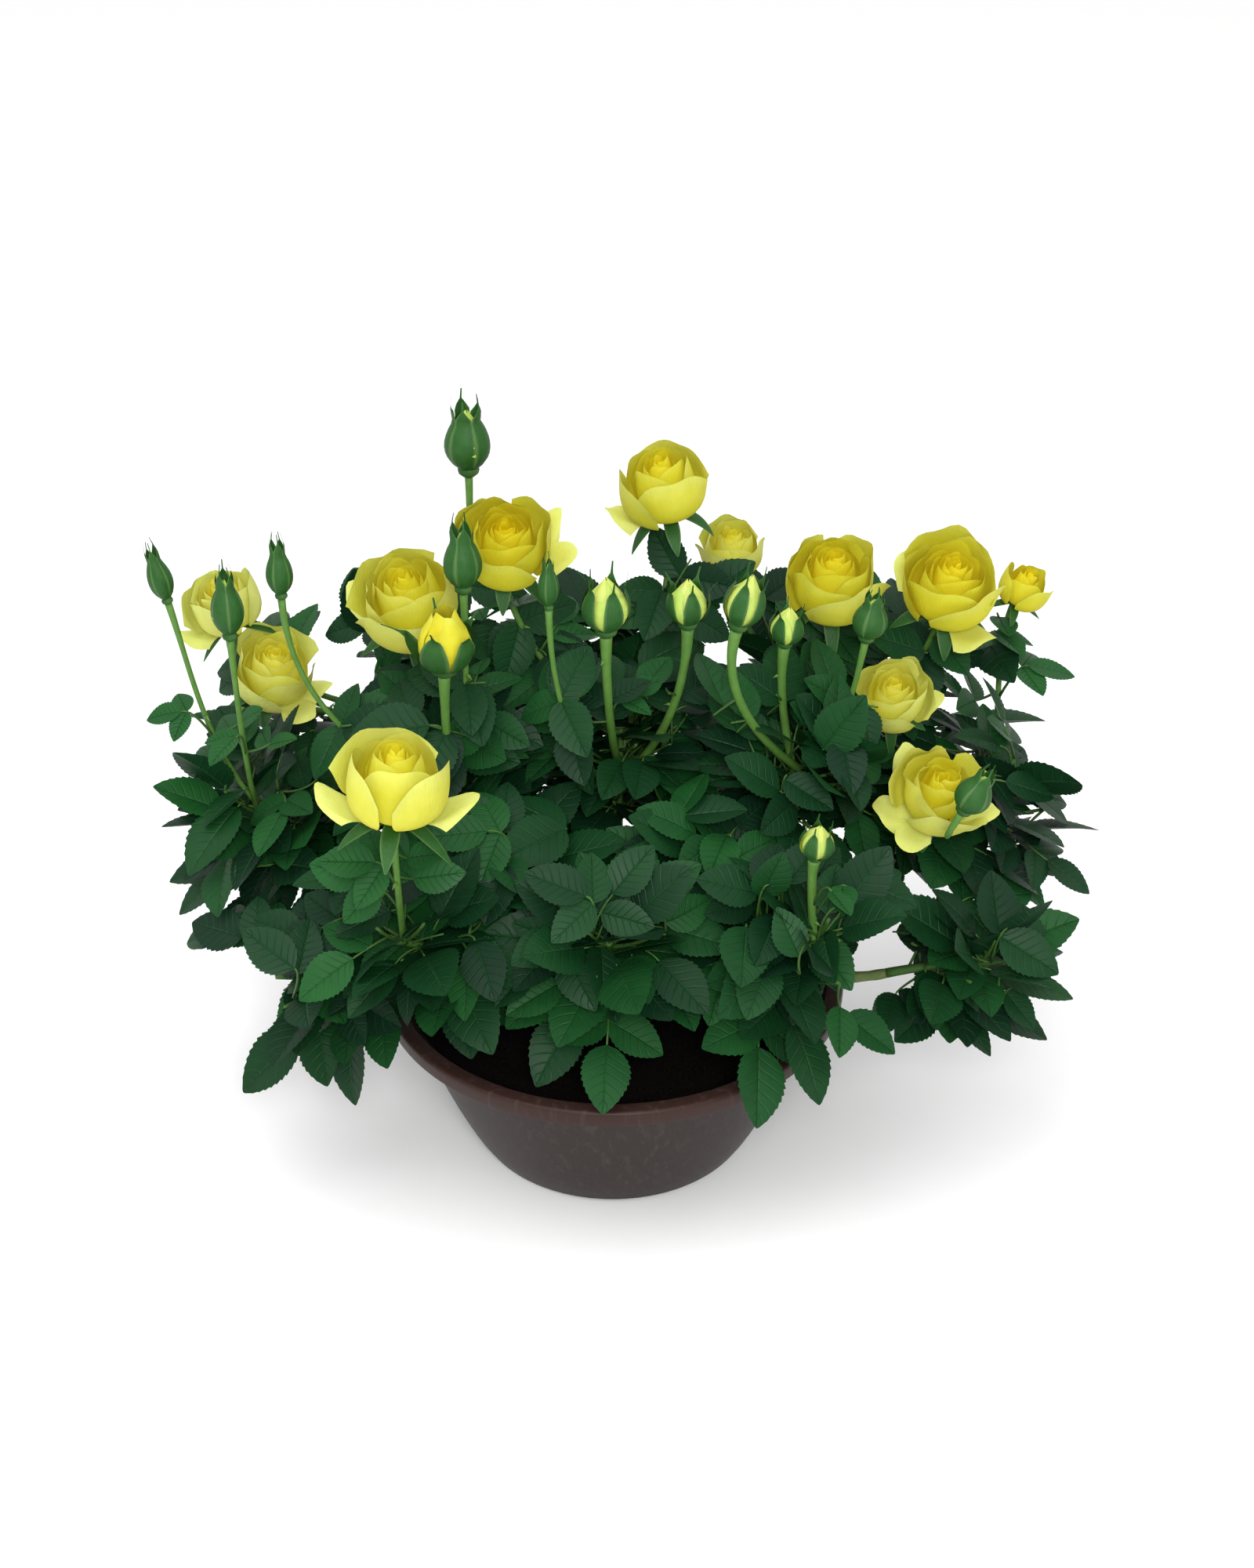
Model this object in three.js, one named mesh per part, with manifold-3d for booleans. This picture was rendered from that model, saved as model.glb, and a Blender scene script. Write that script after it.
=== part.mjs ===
// A yellow patio rose in a round bowl planter, standing on the flat underside of the bowl.
// Units are millimetres. +Z is up, -Y is the plant's front and +X its right-hand side.
// The origin is the centre of the underside.
//
// The plant is built as it grows: a short crown on the soil, one cane for each mass of foliage,
// and on the tip of each cane a leafy stem whose twigs branch by a seeded rule.

import * as THREE from "three";
import { mergeVertices } from "three/addons/utils/BufferGeometryUtils.js";
import Module from "manifold-3d";

const wasm = await Module();
wasm.setup();

const ORIGIN = new THREE.Vector3(0, 0, 0);
const UP = new THREE.Vector3(0, 0, 1);
const GOLDEN_ANGLE = Math.PI * (3 - Math.sqrt(5));

// ------------------------------------------------------------------ driving sizes

const CLEARANCE = 0.3;

// How finely a fused body's corners are kept apart, and how many twigs may be given up to do so.
const FUSING = { shortestEdge: 0.05, tolerances: [0.0001, 0.001, 0.002], mostMends: 6 };

const BOWL = {
  height: 112,
  rimRadius: 140,
  rimInnerRadius: 130,
  lipDepth: 10,
  lipThickness: 2.5,
  lipUnderside: 4,
  rimBevel: 2,
  bodyRadius: 127,
  footRadius: 84,
  footEdge: 3,
  wall: 3,
  floor: 5,
  roundness: 0.8,
  wallSteps: 3,
  segments: 32,
};

const DRAIN = {
  channelWidth: 34,
  channelDepth: 2,
  channelStart: 40,
  holeRadius: 4,
  holeCentre: 60,
  holeSides: 8,
  count: 4,
};

const SOIL = { top: 92, wallClearance: 0.5, footBevel: 1 };

const CROWN = {
  flareRadius: 24,
  waistRadius: 14,
  waistHeight: 8,
  knuckleRadius: 17,
  knuckleHeight: 15,
  segments: 12,
  domeSteps: 5,
};

// Canes leave the crown in a low ring and a steep top ring, and end a little way inside their masses.
const CANE = {
  baseRadius: 3.2,
  tipRadius: 3.0,
  lowTilt: 0.52,
  topTilt: 1.19,
  entry: 0.75,
  lift: 0.25,
  sides: 5,
  steps: 4,
};

const STEM = {
  baseRadius: 3.0,
  tipRadius: 2.2,
  overrun: 0.25,
  lift: 8,
  firstTwig: 0.1,
  sides: 4,
  steps: 3,
};
const STALK = {
  baseRadius: 1.5,
  tipRadius: 2.0,
  firstFoot: 0.9,
  footSpacing: 0.15,
  outwards: 0.75,
  rising: 0.3,
  sunkTop: 0.5,
  sides: 3,
  steps: 2,
};
const FLOWER_SEGMENTS = { bloom: 7, bud: 5 };
const BLOOM_DROP = 0.85;

// A twig is the stalk of one compound leaf: an end leaflet and pairs of side leaflets behind it.
const TWIG = {
  baseRadius: 1.4,
  tipRadius: 1.3,
  sides: 3,
  perMass: 26,
  lowest: -0.6,
  highest: 0.85,
  shortest: 22,
  firstPair: 13,
  pairSpacing: 28,
  mostPairs: 3,
  turnVariation: 0.5,
};
const LEAFLET = {
  length: 58,
  variation: 0.12,
  width: 0.64,
  widest: 0.42,
  fold: 0.08,
  thickness: 1.6,
  sunkRoot: 0.4,
  clearOfStalk: 0.07,
};
const POSTURE = {
  splay: 1.13,
  splayVariation: 0.2,
  sunward: 0.6,
  spread: 0.7,
  tilt: 0.4,
  shrink: 0.12,
};

// Space that leaves keep from limbs, flower heads, the bowl, the floor, other masses and each other.
const KEEP = { limb: 3.5, ownLimb: 0.3, head: 3, bowl: 4, floor: 6, cell: 0.5, leaf: 1 };

// The rule behind the seeded numbers: each one is a remainder of the last one's multiple.
const SEEDING = {
  range: 2 ** 32,
  multiplier: 1664525,
  increment: 1013904223,
  seedStep: 7919,
  seedStart: 12345,
};

// Where each mass of foliage is, how far it reaches along X, Y and Z, and the tips of its furthest sprays.
const MASSES = [
  {
    name: "front_left",
    centre: [-112, -86, 182],
    reach: [60, 50, 58],
    tips: [[-100, -130, 165], [-80, -120, 138]],
  },
  {
    name: "front_middle",
    centre: [-2, -86, 180],
    reach: [58, 48, 58],
    tips: [[-5, -150, 122], [-45, -122, 120]],
  },
  {
    name: "front_right",
    centre: [108, -84, 182],
    reach: [60, 50, 58],
    tips: [[80, -148, 108], [120, -130, 112]],
  },
  { name: "inner_left", centre: [-58, -32, 192], reach: [55, 52, 58], tips: [] },
  { name: "inner_right", centre: [55, -30, 192], reach: [55, 52, 58], tips: [] },
  {
    name: "low_left",
    centre: [-182, -65, 145],
    reach: [60, 45, 55],
    tips: [[-219, -80, 82], [-155, -100, 86]],
  },
  {
    name: "low_right",
    centre: [205, -55, 145],
    reach: [65, 45, 60],
    tips: [[266, -60, 81], [225, -65, 96], [174, -85, 128]],
  },
  {
    name: "side_left",
    centre: [-205, 20, 200],
    reach: [60, 60, 65],
    tips: [[-264, 0, 242], [-241, -25, 152], [-264, 0, 183]],
  },
  {
    name: "side_right",
    centre: [220, 30, 205],
    reach: [65, 60, 60],
    tips: [[291, 20, 200], [271, 5, 176], [250, -20, 127]],
  },
  { name: "upper_left", centre: [-102, 22, 228], reach: [62, 55, 60], tips: [] },
  { name: "upper_middle", centre: [5, 42, 236], reach: [62, 55, 60], tips: [] },
  { name: "upper_right", centre: [118, 20, 230], reach: [62, 55, 60], tips: [[100, 20, 300]] },
  {
    name: "back_left",
    centre: [-155, 108, 222],
    reach: [70, 60, 70],
    tips: [[-155, 95, 335], [-252, 60, 256]],
  },
  { name: "back_middle", centre: [-10, 130, 222], reach: [75, 55, 65], tips: [[18, 80, 300]] },
  {
    name: "back_right",
    centre: [150, 110, 225],
    reach: [70, 60, 70],
    tips: [[74, 110, 355], [225, 110, 290], [264, 80, 245]],
  },
  { name: "rear_left", centre: [-75, 172, 165], reach: [70, 45, 60], tips: [] },
  { name: "rear_right", centre: [78, 172, 165], reach: [70, 45, 60], tips: [] },
];
const TOP_RING = [
  "inner_left",
  "inner_right",
  "upper_left",
  "upper_middle",
  "upper_right",
  "back_middle",
];

// Each open flower: the middle of its head, its width, its lean off upright towards [X, Y], and its form.
const BLOOMS = [
  { at: [-112, -110, 310], across: 60, lean: [0.08, -0.08], petals: 3, sepals: 3 },
  { at: [-116, 40, 342], across: 62, lean: [-0.1, -0.5], petals: 0, sepals: 0 },
  { at: [-59, 30, 380], across: 56, lean: [0.1, -0.7], petals: 0, sepals: 0 },
  { at: [30, 90, 391], across: 54, lean: [-0.15, -0.3], petals: 0, sepals: 0 },
  { at: [129, 70, 340], across: 57, lean: [0, -0.5], petals: 0, sepals: 0 },
  { at: [196, 60, 340], across: 58, lean: [0.05, -0.5], petals: 0, sepals: 0 },
  { at: [246, 90, 324], across: 32, lean: [0.3, -0.3], petals: 0, sepals: 0 },
  { at: [-227, 70, 325], across: 44, lean: [-0.2, -0.3], petals: 0, sepals: 0 },
  { at: [-199, 60, 287], across: 50, lean: [0.2, -0.5], petals: 0, sepals: 0 },
  { at: [73, 115, 338], across: 40, lean: [0, -0.4], petals: 0, sepals: 0 },
  { at: [163, 30, 283], across: 44, lean: [0, -0.6], petals: 0, sepals: 0 },
  { at: [186, -22, 250], across: 52, lean: [0.1, -0.7], petals: 0, sepals: 0 },
];

// Each bud: the middle of its body, its width and height, its lean, and how many sepal tips stand off it.
const BUDS = [
  { at: [-82, 90, 416], across: 25, height: 44, lean: [0, 0], tips: 3 },
  { at: [-91, -22, 342], across: 31, height: 40, lean: [0.05, -0.1], tips: 0 },
  { at: [-81, 0, 382], across: 20, height: 40, lean: [0, 0], tips: 0 },
  { at: [-3, -10, 360], across: 26, height: 40, lean: [0, -0.05], tips: 0 },
  { at: [43, 20, 347], across: 23, height: 34, lean: [0, 0], tips: 0 },
  { at: [73, -12, 363], across: 22, height: 38, lean: [0.25, 0], tips: 0 },
  { at: [100, 28, 328], across: 20, height: 28, lean: [0.1, 0], tips: 0 },
  { at: [146, 20, 336], across: 19, height: 30, lean: [0.15, 0], tips: 0 },
  { at: [-181, 0, 376], across: 14, height: 34, lean: [0, 0], tips: 0 },
  { at: [-209, -12, 360], across: 17, height: 40, lean: [0, 0], tips: 0 },
  { at: [-250, 15, 366], across: 13, height: 34, lean: [-0.2, 0], tips: 0 },
  { at: [-34, -15, 374], across: 11, height: 30, lean: [0, 0], tips: 0 },
  { at: [196, -72, 276], across: 19, height: 30, lean: [0.45, -0.1], tips: 0 },
  { at: [111, -85, 254], across: 19, height: 26, lean: [0.1, -0.1], tips: 0 },
];

// ------------------------------------------------------------------ finishes

const PLASTIC = { color: 0x453733, roughness: 0.42, metalness: 0 };
const COMPOST = { color: 0x14110f, roughness: 0.95, metalness: 0 };
const BARK = { color: 0x5d5a36, roughness: 0.75, metalness: 0 };
const FOLIAGE = { color: 0x1f4f2e, roughness: 0.45, metalness: 0 };

// ------------------------------------------------------------------ small helpers

function vector(values) {
  return new THREE.Vector3(values[0], values[1], values[2]);
}

// The same numbers between 0 and 1 each time, in an order set by the seed.
function seededNumbers(seed) {
  const { range, multiplier, increment, seedStep, seedStart } = SEEDING;
  let state = (seed * seedStep + seedStart) % range;
  return () => {
    state = (multiplier * state + increment) % range;
    return state / range;
  };
}

function distanceToSegment(point, from, to) {
  const along = to.clone().sub(from);
  const share = THREE.MathUtils.clamp(point.clone().sub(from).dot(along) / along.lengthSq(), 0, 1);
  return point.distanceTo(from.clone().addScaledVector(along, share));
}

function leaningAxis(lean) {
  return new THREE.Vector3(lean[0], lean[1], 1).normalize();
}

// ------------------------------------------------------------------ solids

// A closed solid from a geometry: shared corners merged, faces that shrink to a line dropped.
function toSolid(geometry) {
  const bare = geometry.clone();
  bare.deleteAttribute("normal");
  bare.deleteAttribute("uv");
  const merged = mergeVertices(bare, 1e-4);
  const corners = merged.index.array;
  const faces = [];
  for (let i = 0; i < corners.length; i += 3) {
    const [a, b, c] = [corners[i], corners[i + 1], corners[i + 2]];
    if (a !== b && b !== c && c !== a) faces.push(a, b, c);
  }
  const vertProperties = new Float32Array(merged.attributes.position.array);
  return new wasm.Manifold(new wasm.Mesh({ numProp: 3, vertProperties, triVerts: new Uint32Array(faces) }));
}

function toGeometry(solid) {
  const mesh = solid.getMesh();
  const geometry = new THREE.BufferGeometry();
  geometry.setAttribute("position", new THREE.BufferAttribute(new Float32Array(mesh.vertProperties), 3));
  geometry.setIndex(new THREE.BufferAttribute(new Uint32Array(mesh.triVerts), 1));
  geometry.computeVertexNormals();
  return geometry;
}

// Everything fused into one body. Sealed hollows and loose scraps come apart from it and are left out.
function fuse(geometries) {
  const whole = wasm.Manifold.union(geometries.map(toSolid));
  const bodies = whole.decompose();
  const largest = bodies.reduce((best, body) => (body.volume() > best.volume() ? body : best));
  return largest.asOriginal().simplify(FUSING.shortestEdge);
}

// Places where a body's surface would pinch if corners closer than the tolerance became one.
function pinches(solid, tolerance) {
  const geometry = toGeometry(solid);
  geometry.deleteAttribute("normal");
  const merged = mergeVertices(geometry, tolerance);
  const corners = merged.index.array;
  const uses = new Map();
  for (let i = 0; i < corners.length; i += 3) {
    const face = [corners[i], corners[i + 1], corners[i + 2]];
    if (new Set(face).size < 3) continue;
    for (let side = 0; side < 3; side += 1) {
      const edge = [face[side], face[(side + 1) % 3]].sort((one, other) => one - other).join(" ");
      uses.set(edge, (uses.get(edge) ?? 0) + 1);
    }
  }
  return [...uses].filter(([, count]) => count !== 2).map(([edge]) => (
    new THREE.Vector3().fromBufferAttribute(merged.attributes.position, Number(edge.split(" ")[0]))));
}

// A limb along a curve: a cylinder bent to the curve, tapering from one radius to the other.
function limbGeometry(curve, size, steps) {
  const geometry = new THREE.CylinderGeometry(size.tipRadius, size.baseRadius, 1, size.sides, steps);
  const chord = curve.getPoint(1).sub(curve.getPoint(0));
  const isLevel = Math.abs(chord.x) + Math.abs(chord.y) > Math.abs(chord.z);
  const reference = isLevel ? UP : new THREE.Vector3(0, 1, 0);
  const place = geometry.attributes.position;
  for (let i = 0; i < place.count; i += 1) {
    const share = place.getY(i) + 0.5;
    const forward = curve.getTangent(share);
    const right = forward.clone().cross(reference).normalize();
    const third = right.clone().cross(forward);
    const corner = curve.getPoint(share);
    corner.addScaledVector(right, place.getX(i)).addScaledVector(third, place.getZ(i));
    place.setXYZ(i, corner.x, corner.y, corner.z);
  }
  return geometry;
}

// A blade with eight faces: root, tip and two side corners, folded along a thicker midrib.
function bladeGeometry(blade) {
  const geometry = new THREE.OctahedronGeometry(1);
  const place = geometry.attributes.position;
  const side = blade.along.clone().cross(blade.face).normalize();
  for (let i = 0; i < place.count; i += 1) {
    const [x, y, z] = [place.getX(i), place.getY(i), place.getZ(i)];
    const share = y === 0 ? LEAFLET.widest : (y + 1) / 2;
    const lift = Math.abs(x) * LEAFLET.fold * blade.length + (z * LEAFLET.thickness) / 2;
    const corner = blade.root.clone();
    corner.addScaledVector(blade.along, share * (blade.length + LEAFLET.sunkRoot) - LEAFLET.sunkRoot);
    corner.addScaledVector(side, (x * blade.width) / 2);
    corner.addScaledVector(blade.face, lift);
    place.setXYZ(i, corner.x, corner.y, corner.z);
  }
  return geometry;
}

// A turned form from heights and radii, stood at a point along an axis.
function turnedGeometry(profile, segments, base, axis) {
  const points = profile.map(([radius, height]) => new THREE.Vector2(radius, height));
  const geometry = new THREE.LatheGeometry(points, segments);
  const turn = new THREE.Quaternion().setFromUnitVectors(new THREE.Vector3(0, 1, 0), axis);
  geometry.applyQuaternion(turn);
  geometry.translate(base.x, base.y, base.z);
  return geometry;
}

// ------------------------------------------------------------------ bowl and soil

function bowlWallRadius(height) {
  const share = height / (BOWL.height - BOWL.lipDepth);
  return BOWL.footRadius + (BOWL.bodyRadius - BOWL.footRadius) * share ** BOWL.roundness;
}

function bowlOuterWall() {
  const points = [];
  for (let step = 0; step <= BOWL.wallSteps; step += 1) {
    const height = BOWL.footEdge + (BOWL.height - BOWL.lipDepth - BOWL.footEdge) * (step / BOWL.wallSteps);
    points.push([bowlWallRadius(height), height]);
  }
  return points;
}

function bowlInnerWall(inset) {
  return bowlOuterWall()
    .map(([radius, height]) => [radius - BOWL.wall - inset, Math.max(height, BOWL.floor + inset)])
    .reverse();
}

function bowlSolid() {
  const lipOuter = BOWL.rimRadius - BOWL.lipThickness;
  const lipBottom = BOWL.height - BOWL.lipDepth;
  const profile = [
    [0, 0],
    [BOWL.footRadius - BOWL.footEdge, 0],
    ...bowlOuterWall(),
    [BOWL.bodyRadius + BOWL.rimBevel, BOWL.height - BOWL.lipUnderside],
    [lipOuter, BOWL.height - BOWL.lipUnderside],
    [lipOuter, lipBottom],
    [BOWL.rimRadius, lipBottom],
    [BOWL.rimRadius, BOWL.height - BOWL.rimBevel],
    [BOWL.rimRadius - BOWL.rimBevel, BOWL.height],
    [BOWL.rimInnerRadius, BOWL.height],
    ...bowlInnerWall(0),
    [0, BOWL.floor],
  ];
  let solid = toSolid(turnedGeometry(profile, BOWL.segments, ORIGIN, UP));
  for (let i = 0; i < DRAIN.count; i += 1) {
    const angle = (i * 2 * Math.PI) / DRAIN.count - Math.PI / 2;
    const reach = BOWL.bodyRadius - DRAIN.channelStart;
    const channel = new THREE.BoxGeometry(reach, DRAIN.channelWidth, 2 * DRAIN.channelDepth);
    channel.translate(DRAIN.channelStart + reach / 2, 0, 0).rotateZ(angle);
    const depth = 4 * BOWL.floor;
    const hole = new THREE.CylinderGeometry(DRAIN.holeRadius, DRAIN.holeRadius, depth, DRAIN.holeSides);
    hole.rotateX(Math.PI / 2).translate(DRAIN.holeCentre, 0, 0).rotateZ(angle);
    solid = solid.subtract(toSolid(channel)).subtract(toSolid(hole));
  }
  return solid;
}

function soilSolid() {
  const floor = BOWL.floor + CLEARANCE;
  const wall = bowlInnerWall(SOIL.wallClearance).filter(([, height]) => height < SOIL.top).reverse();
  const topRadius = bowlWallRadius(SOIL.top) - BOWL.wall - 2 * SOIL.wallClearance;
  const foot = [wall[0][0] - SOIL.footBevel, floor];
  const profile = [[0, floor], foot, ...wall.slice(1), [topRadius, SOIL.top], [0, SOIL.top]];
  return toSolid(turnedGeometry(profile, BOWL.segments, ORIGIN, UP));
}

// ------------------------------------------------------------------ crown and canes

const KNUCKLE = new THREE.Vector3(0, 0, SOIL.top + CLEARANCE + CROWN.knuckleHeight);

// The woody crown: a flat cut on the soil, a root flare, a waist and a domed knuckle that the canes leave.
function crownSolid() {
  const base = new THREE.Vector3(0, 0, SOIL.top + CLEARANCE);
  const halfFlare = (CROWN.flareRadius + CROWN.waistRadius) / 2;
  const profile = [[0, 0], [CROWN.flareRadius, 0]];
  profile.push([halfFlare, CROWN.waistHeight / 3], [CROWN.waistRadius, CROWN.waistHeight]);
  const lowest = -Math.PI / 8;
  for (let step = 0; step < CROWN.domeSteps; step += 1) {
    const tilt = lowest + ((Math.PI / 2 - lowest) * step) / CROWN.domeSteps;
    const height = CROWN.knuckleHeight + CROWN.knuckleRadius * Math.sin(tilt);
    profile.push([CROWN.knuckleRadius * Math.cos(tilt), height]);
  }
  profile.push([0, CROWN.knuckleHeight + CROWN.knuckleRadius]);
  return toSolid(turnedGeometry(profile, CROWN.segments, base, UP));
}

function azimuth(point) {
  return Math.atan2(point.y, point.x);
}

// A cane leaves the knuckle square to its surface and ends where it enters its mass.
// The mass's own stem carries on from its tip, a hair's breadth clear.
function layOutCane(mass, angle, tilt) {
  const level = Math.cos(tilt);
  const leaving = new THREE.Vector3(level * Math.cos(angle), level * Math.sin(angle), Math.sin(tilt));
  const start = KNUCKLE.clone().addScaledVector(leaving, CROWN.knuckleRadius + CLEARANCE);
  const inward = KNUCKLE.clone().sub(mass.centre);
  const depth = inward.clone().divide(mass.reach).length();
  const tip = mass.centre.clone().addScaledVector(inward, CANE.entry / depth);
  const entering = mass.centre.clone().sub(tip).normalize().addScaledVector(UP, CANE.lift).normalize();
  const third = tip.distanceTo(start) / 3;
  const leavingPull = start.clone().addScaledVector(leaving, third);
  const enteringPull = tip.clone().addScaledVector(entering, -third);
  mass.cane = new THREE.CubicBezierCurve3(start, leavingPull, enteringPull, tip);

  const stemStart = tip.clone().addScaledVector(entering, CLEARANCE);
  const stemEnd = mass.centre.clone().lerp(tip, -STEM.overrun).addScaledVector(UP, STEM.lift);
  const stemBend = stemStart.clone().addScaledVector(entering, stemStart.distanceTo(stemEnd) / 2);
  mass.stem = new THREE.QuadraticBezierCurve3(stemStart, stemBend, stemEnd);
}

// Around each ring the canes are evenly spaced, in the order that their masses stand round the plant.
function layOutCanes(masses) {
  const isTop = (mass) => TOP_RING.includes(mass.name);
  const rings = [
    { members: masses.filter((mass) => !isTop(mass)), tilt: CANE.lowTilt },
    { members: masses.filter(isTop), tilt: CANE.topTilt },
  ];
  for (const { members, tilt } of rings) {
    members.sort((one, other) => azimuth(one.centre) - azimuth(other.centre));
    const step = (2 * Math.PI) / members.length;
    const slack = members.map((mass, slot) => azimuth(mass.centre) - slot * step);
    const first = slack.reduce((sum, value) => sum + value, 0) / slack.length;
    members.forEach((mass, slot) => layOutCane(mass, first + slot * step, tilt));
  }
}

// ------------------------------------------------------------------ flowers

function bloomForm(bloom) {
  const axis = leaningAxis(bloom.lean);
  const centre = vector(bloom.at);
  const radius = bloom.across / 2;
  const base = centre.clone().addScaledVector(axis, -BLOOM_DROP * radius);
  return { kind: "bloom", axis, centre, radius, base, ...bloom };
}

function budForm(bud) {
  const axis = leaningAxis(bud.lean);
  const centre = vector(bud.at);
  const base = centre.clone().addScaledVector(axis, -bud.height / 2);
  return { kind: "bud", axis, centre, radius: bud.height / 2, base, ...bud };
}

// Directions around an axis, evenly spaced, each tilted up from the level plane.
function around(axis, count, tilt, turn) {
  const across = new THREE.Vector3(1, 0, 0).cross(axis).normalize();
  const third = axis.clone().cross(across);
  return Array.from({ length: count }, (_, i) => {
    const angle = turn + (i * 2 * Math.PI) / count;
    const level = across.clone().multiplyScalar(Math.cos(angle)).addScaledVector(third, Math.sin(angle));
    return level.multiplyScalar(Math.cos(tilt)).addScaledVector(axis, Math.sin(tilt));
  });
}

// Blades round a flower: loose petals, sepals or the tips of a bud's sepals.
function bladeRing(flower, ring) {
  return around(flower.axis, ring.count, ring.tilt, ring.turn).map((along) => {
    const root = flower.base.clone();
    root.addScaledVector(flower.axis, ring.height).addScaledVector(along, ring.inset);
    const face = flower.axis.clone().addScaledVector(along, -flower.axis.dot(along)).normalize();
    return bladeGeometry({ root, along, face, length: ring.length, width: ring.width });
  });
}

// An open rose: a cup of petals with a domed heart, loose outer petals, and sepals under it.
// Its sizes are shares of the head's radius.
function bloomGeometries(flower) {
  const r = flower.radius;
  const profile = [[0, 0], [0.6 * r, 0.2 * r], [r, 0.95 * r], [0.78 * r, 1.5 * r], [0, 1.6 * r]];
  const loosePetals = {
    count: flower.petals,
    tilt: 0.35,
    turn: 0.4,
    height: 0.5 * r,
    inset: 0.3 * r,
    length: r,
    width: 1.2 * r,
  };
  const sepals = {
    count: flower.sepals,
    tilt: -0.45,
    turn: 0,
    height: 0,
    inset: 0,
    length: 1.15 * r,
    width: 0.24 * r,
  };
  return [
    turnedGeometry(profile, FLOWER_SEGMENTS.bloom, flower.base, flower.axis),
    ...bladeRing(flower, loosePetals),
    ...bladeRing(flower, sepals),
  ];
}

// A bud: the round hip under it, then the long closed body, with sepal tips on the most open one.
// Its sizes are shares of the bud's width and height.
function budGeometries(flower) {
  const [w, h] = [flower.across, flower.height];
  const hip = [[0, 0], [0.27 * w, 0.08 * h], [0.2 * w, 0.22 * h]];
  const profile = [...hip, [0.5 * w, 0.48 * h], [0.34 * w, 0.78 * h], [0, h]];
  const tips = {
    count: flower.tips,
    tilt: 1.3,
    turn: 0.6,
    height: 0.7 * h,
    inset: 1,
    length: 0.53 * h,
    width: 0.24 * w,
  };
  const body = turnedGeometry(profile, FLOWER_SEGMENTS.bud, flower.base, flower.axis);
  return [body, ...bladeRing(flower, tips)];
}

// Each flower stands over the mass nearest to it, on a stalk from that mass's stem.
function placeFlower(flower, masses) {
  const owner = masses.reduce((best, mass) => (
    cellDistance(flower.centre, mass) < cellDistance(flower.centre, best) ? mass : best));
  const foot = owner.stem.getPoint(STALK.firstFoot - STALK.footSpacing * owner.flowers.length);
  const rise = flower.base.distanceTo(foot);
  const under = new THREE.Vector3(flower.base.x, flower.base.y, foot.z);
  const footPull = foot.clone().lerp(under, STALK.outwards).addScaledVector(UP, STALK.rising * rise);
  const headPull = flower.base.clone().addScaledVector(flower.axis, -STALK.rising * rise);
  const top = flower.base.clone().addScaledVector(flower.axis, STALK.sunkTop);
  flower.stalk = new THREE.CubicBezierCurve3(foot, footPull, headPull, top);
  owner.flowers.push(flower);
}

// ------------------------------------------------------------------ growth rule

// How far a point is from a mass, allowing for the mass's size: the smallest owns the point.
function cellDistance(point, mass) {
  return point.distanceToSquared(mass.centre) - mass.size ** 2;
}

function insideCell(point, mass, masses) {
  return masses.every((other) => {
    if (other === mass) return true;
    const apart = other.centre.distanceTo(mass.centre);
    return (cellDistance(point, other) - cellDistance(point, mass)) / (2 * apart) > KEEP.cell;
  });
}

function clearOfBowl(point) {
  if (point.z < KEEP.floor) return false;
  if (point.z > BOWL.height + KEEP.bowl) return true;
  const radius = Math.hypot(point.x, point.y);
  if (radius > BOWL.rimRadius + KEEP.bowl) return true;
  return point.z > SOIL.top + KEEP.bowl && radius < BOWL.rimInnerRadius - KEEP.bowl;
}

// Every limb as a chain of points with its thickness: canes, stems, stalks and twigs.
function limbChain(owner, curve, radius, steps = 8) {
  return { owner, radius, points: curve.getPoints(steps) };
}

function clearOfLimb(point, limb, mass) {
  const margin = limb.radius + (limb.owner === mass ? KEEP.ownLimb : KEEP.limb);
  return limb.points.slice(1).every((end, i) => distanceToSegment(point, limb.points[i], end) > margin);
}

function isFree(points, mass, plant, limbs) {
  return points.every((point) => {
    if (!insideCell(point, mass, plant.masses) || !clearOfBowl(point)) return false;
    if (!limbs.every((limb) => clearOfLimb(point, limb, mass))) return false;
    return plant.heads.every((head) => point.distanceTo(head.centre) > head.radius + KEEP.head);
  });
}

// Points spread over a blade, as pairs of its length along it and of its half width across it.
const SAMPLES = [[0.15, 0], [0.42, 0], [0.7, 0], [0.85, 0], [1, 0]];
for (const hand of [-1, 1]) {
  for (const [along, across] of [[0.22, 0.45], [0.42, 0.5], [0.42, 1], [0.6, 0.6], [0.75, 0.35]]) {
    SAMPLES.push([along, hand * across]);
  }
}

function onBlade(blade, along, across) {
  const side = blade.along.clone().cross(blade.face).normalize();
  return blade.root.clone()
    .addScaledVector(blade.along, along * blade.length)
    .addScaledVector(side, (across * blade.width) / 2)
    .addScaledVector(blade.face, Math.abs(across) * LEAFLET.fold * blade.length);
}

// What a blade takes up: points spread over it, its outline and midrib, and its two halves as triangles.
function bladeSpace(blade) {
  const [root, tip] = [onBlade(blade, LEAFLET.clearOfStalk, 0), onBlade(blade, 1, 0)];
  const [left, right] = [onBlade(blade, LEAFLET.widest, -1), onBlade(blade, LEAFLET.widest, 1)];
  return {
    samples: SAMPLES.map(([along, across]) => onBlade(blade, along, across)),
    lines: [[root, left], [left, tip], [root, right], [right, tip], [root, tip]],
    halves: [[root, tip, left], [root, tip, right]],
  };
}

function lineCrosses([from, to], halves) {
  const ray = new THREE.Ray(from, to.clone().sub(from).normalize());
  const length = from.distanceTo(to);
  return halves.some(([a, b, c]) => {
    const hit = ray.intersectTriangle(a, b, c, false, new THREE.Vector3());
    return hit !== null && hit.distanceTo(from) < length;
  });
}

function limbLines(limb) {
  return limb.points.slice(1).map((end, i) => [limb.points[i], end]);
}

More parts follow.
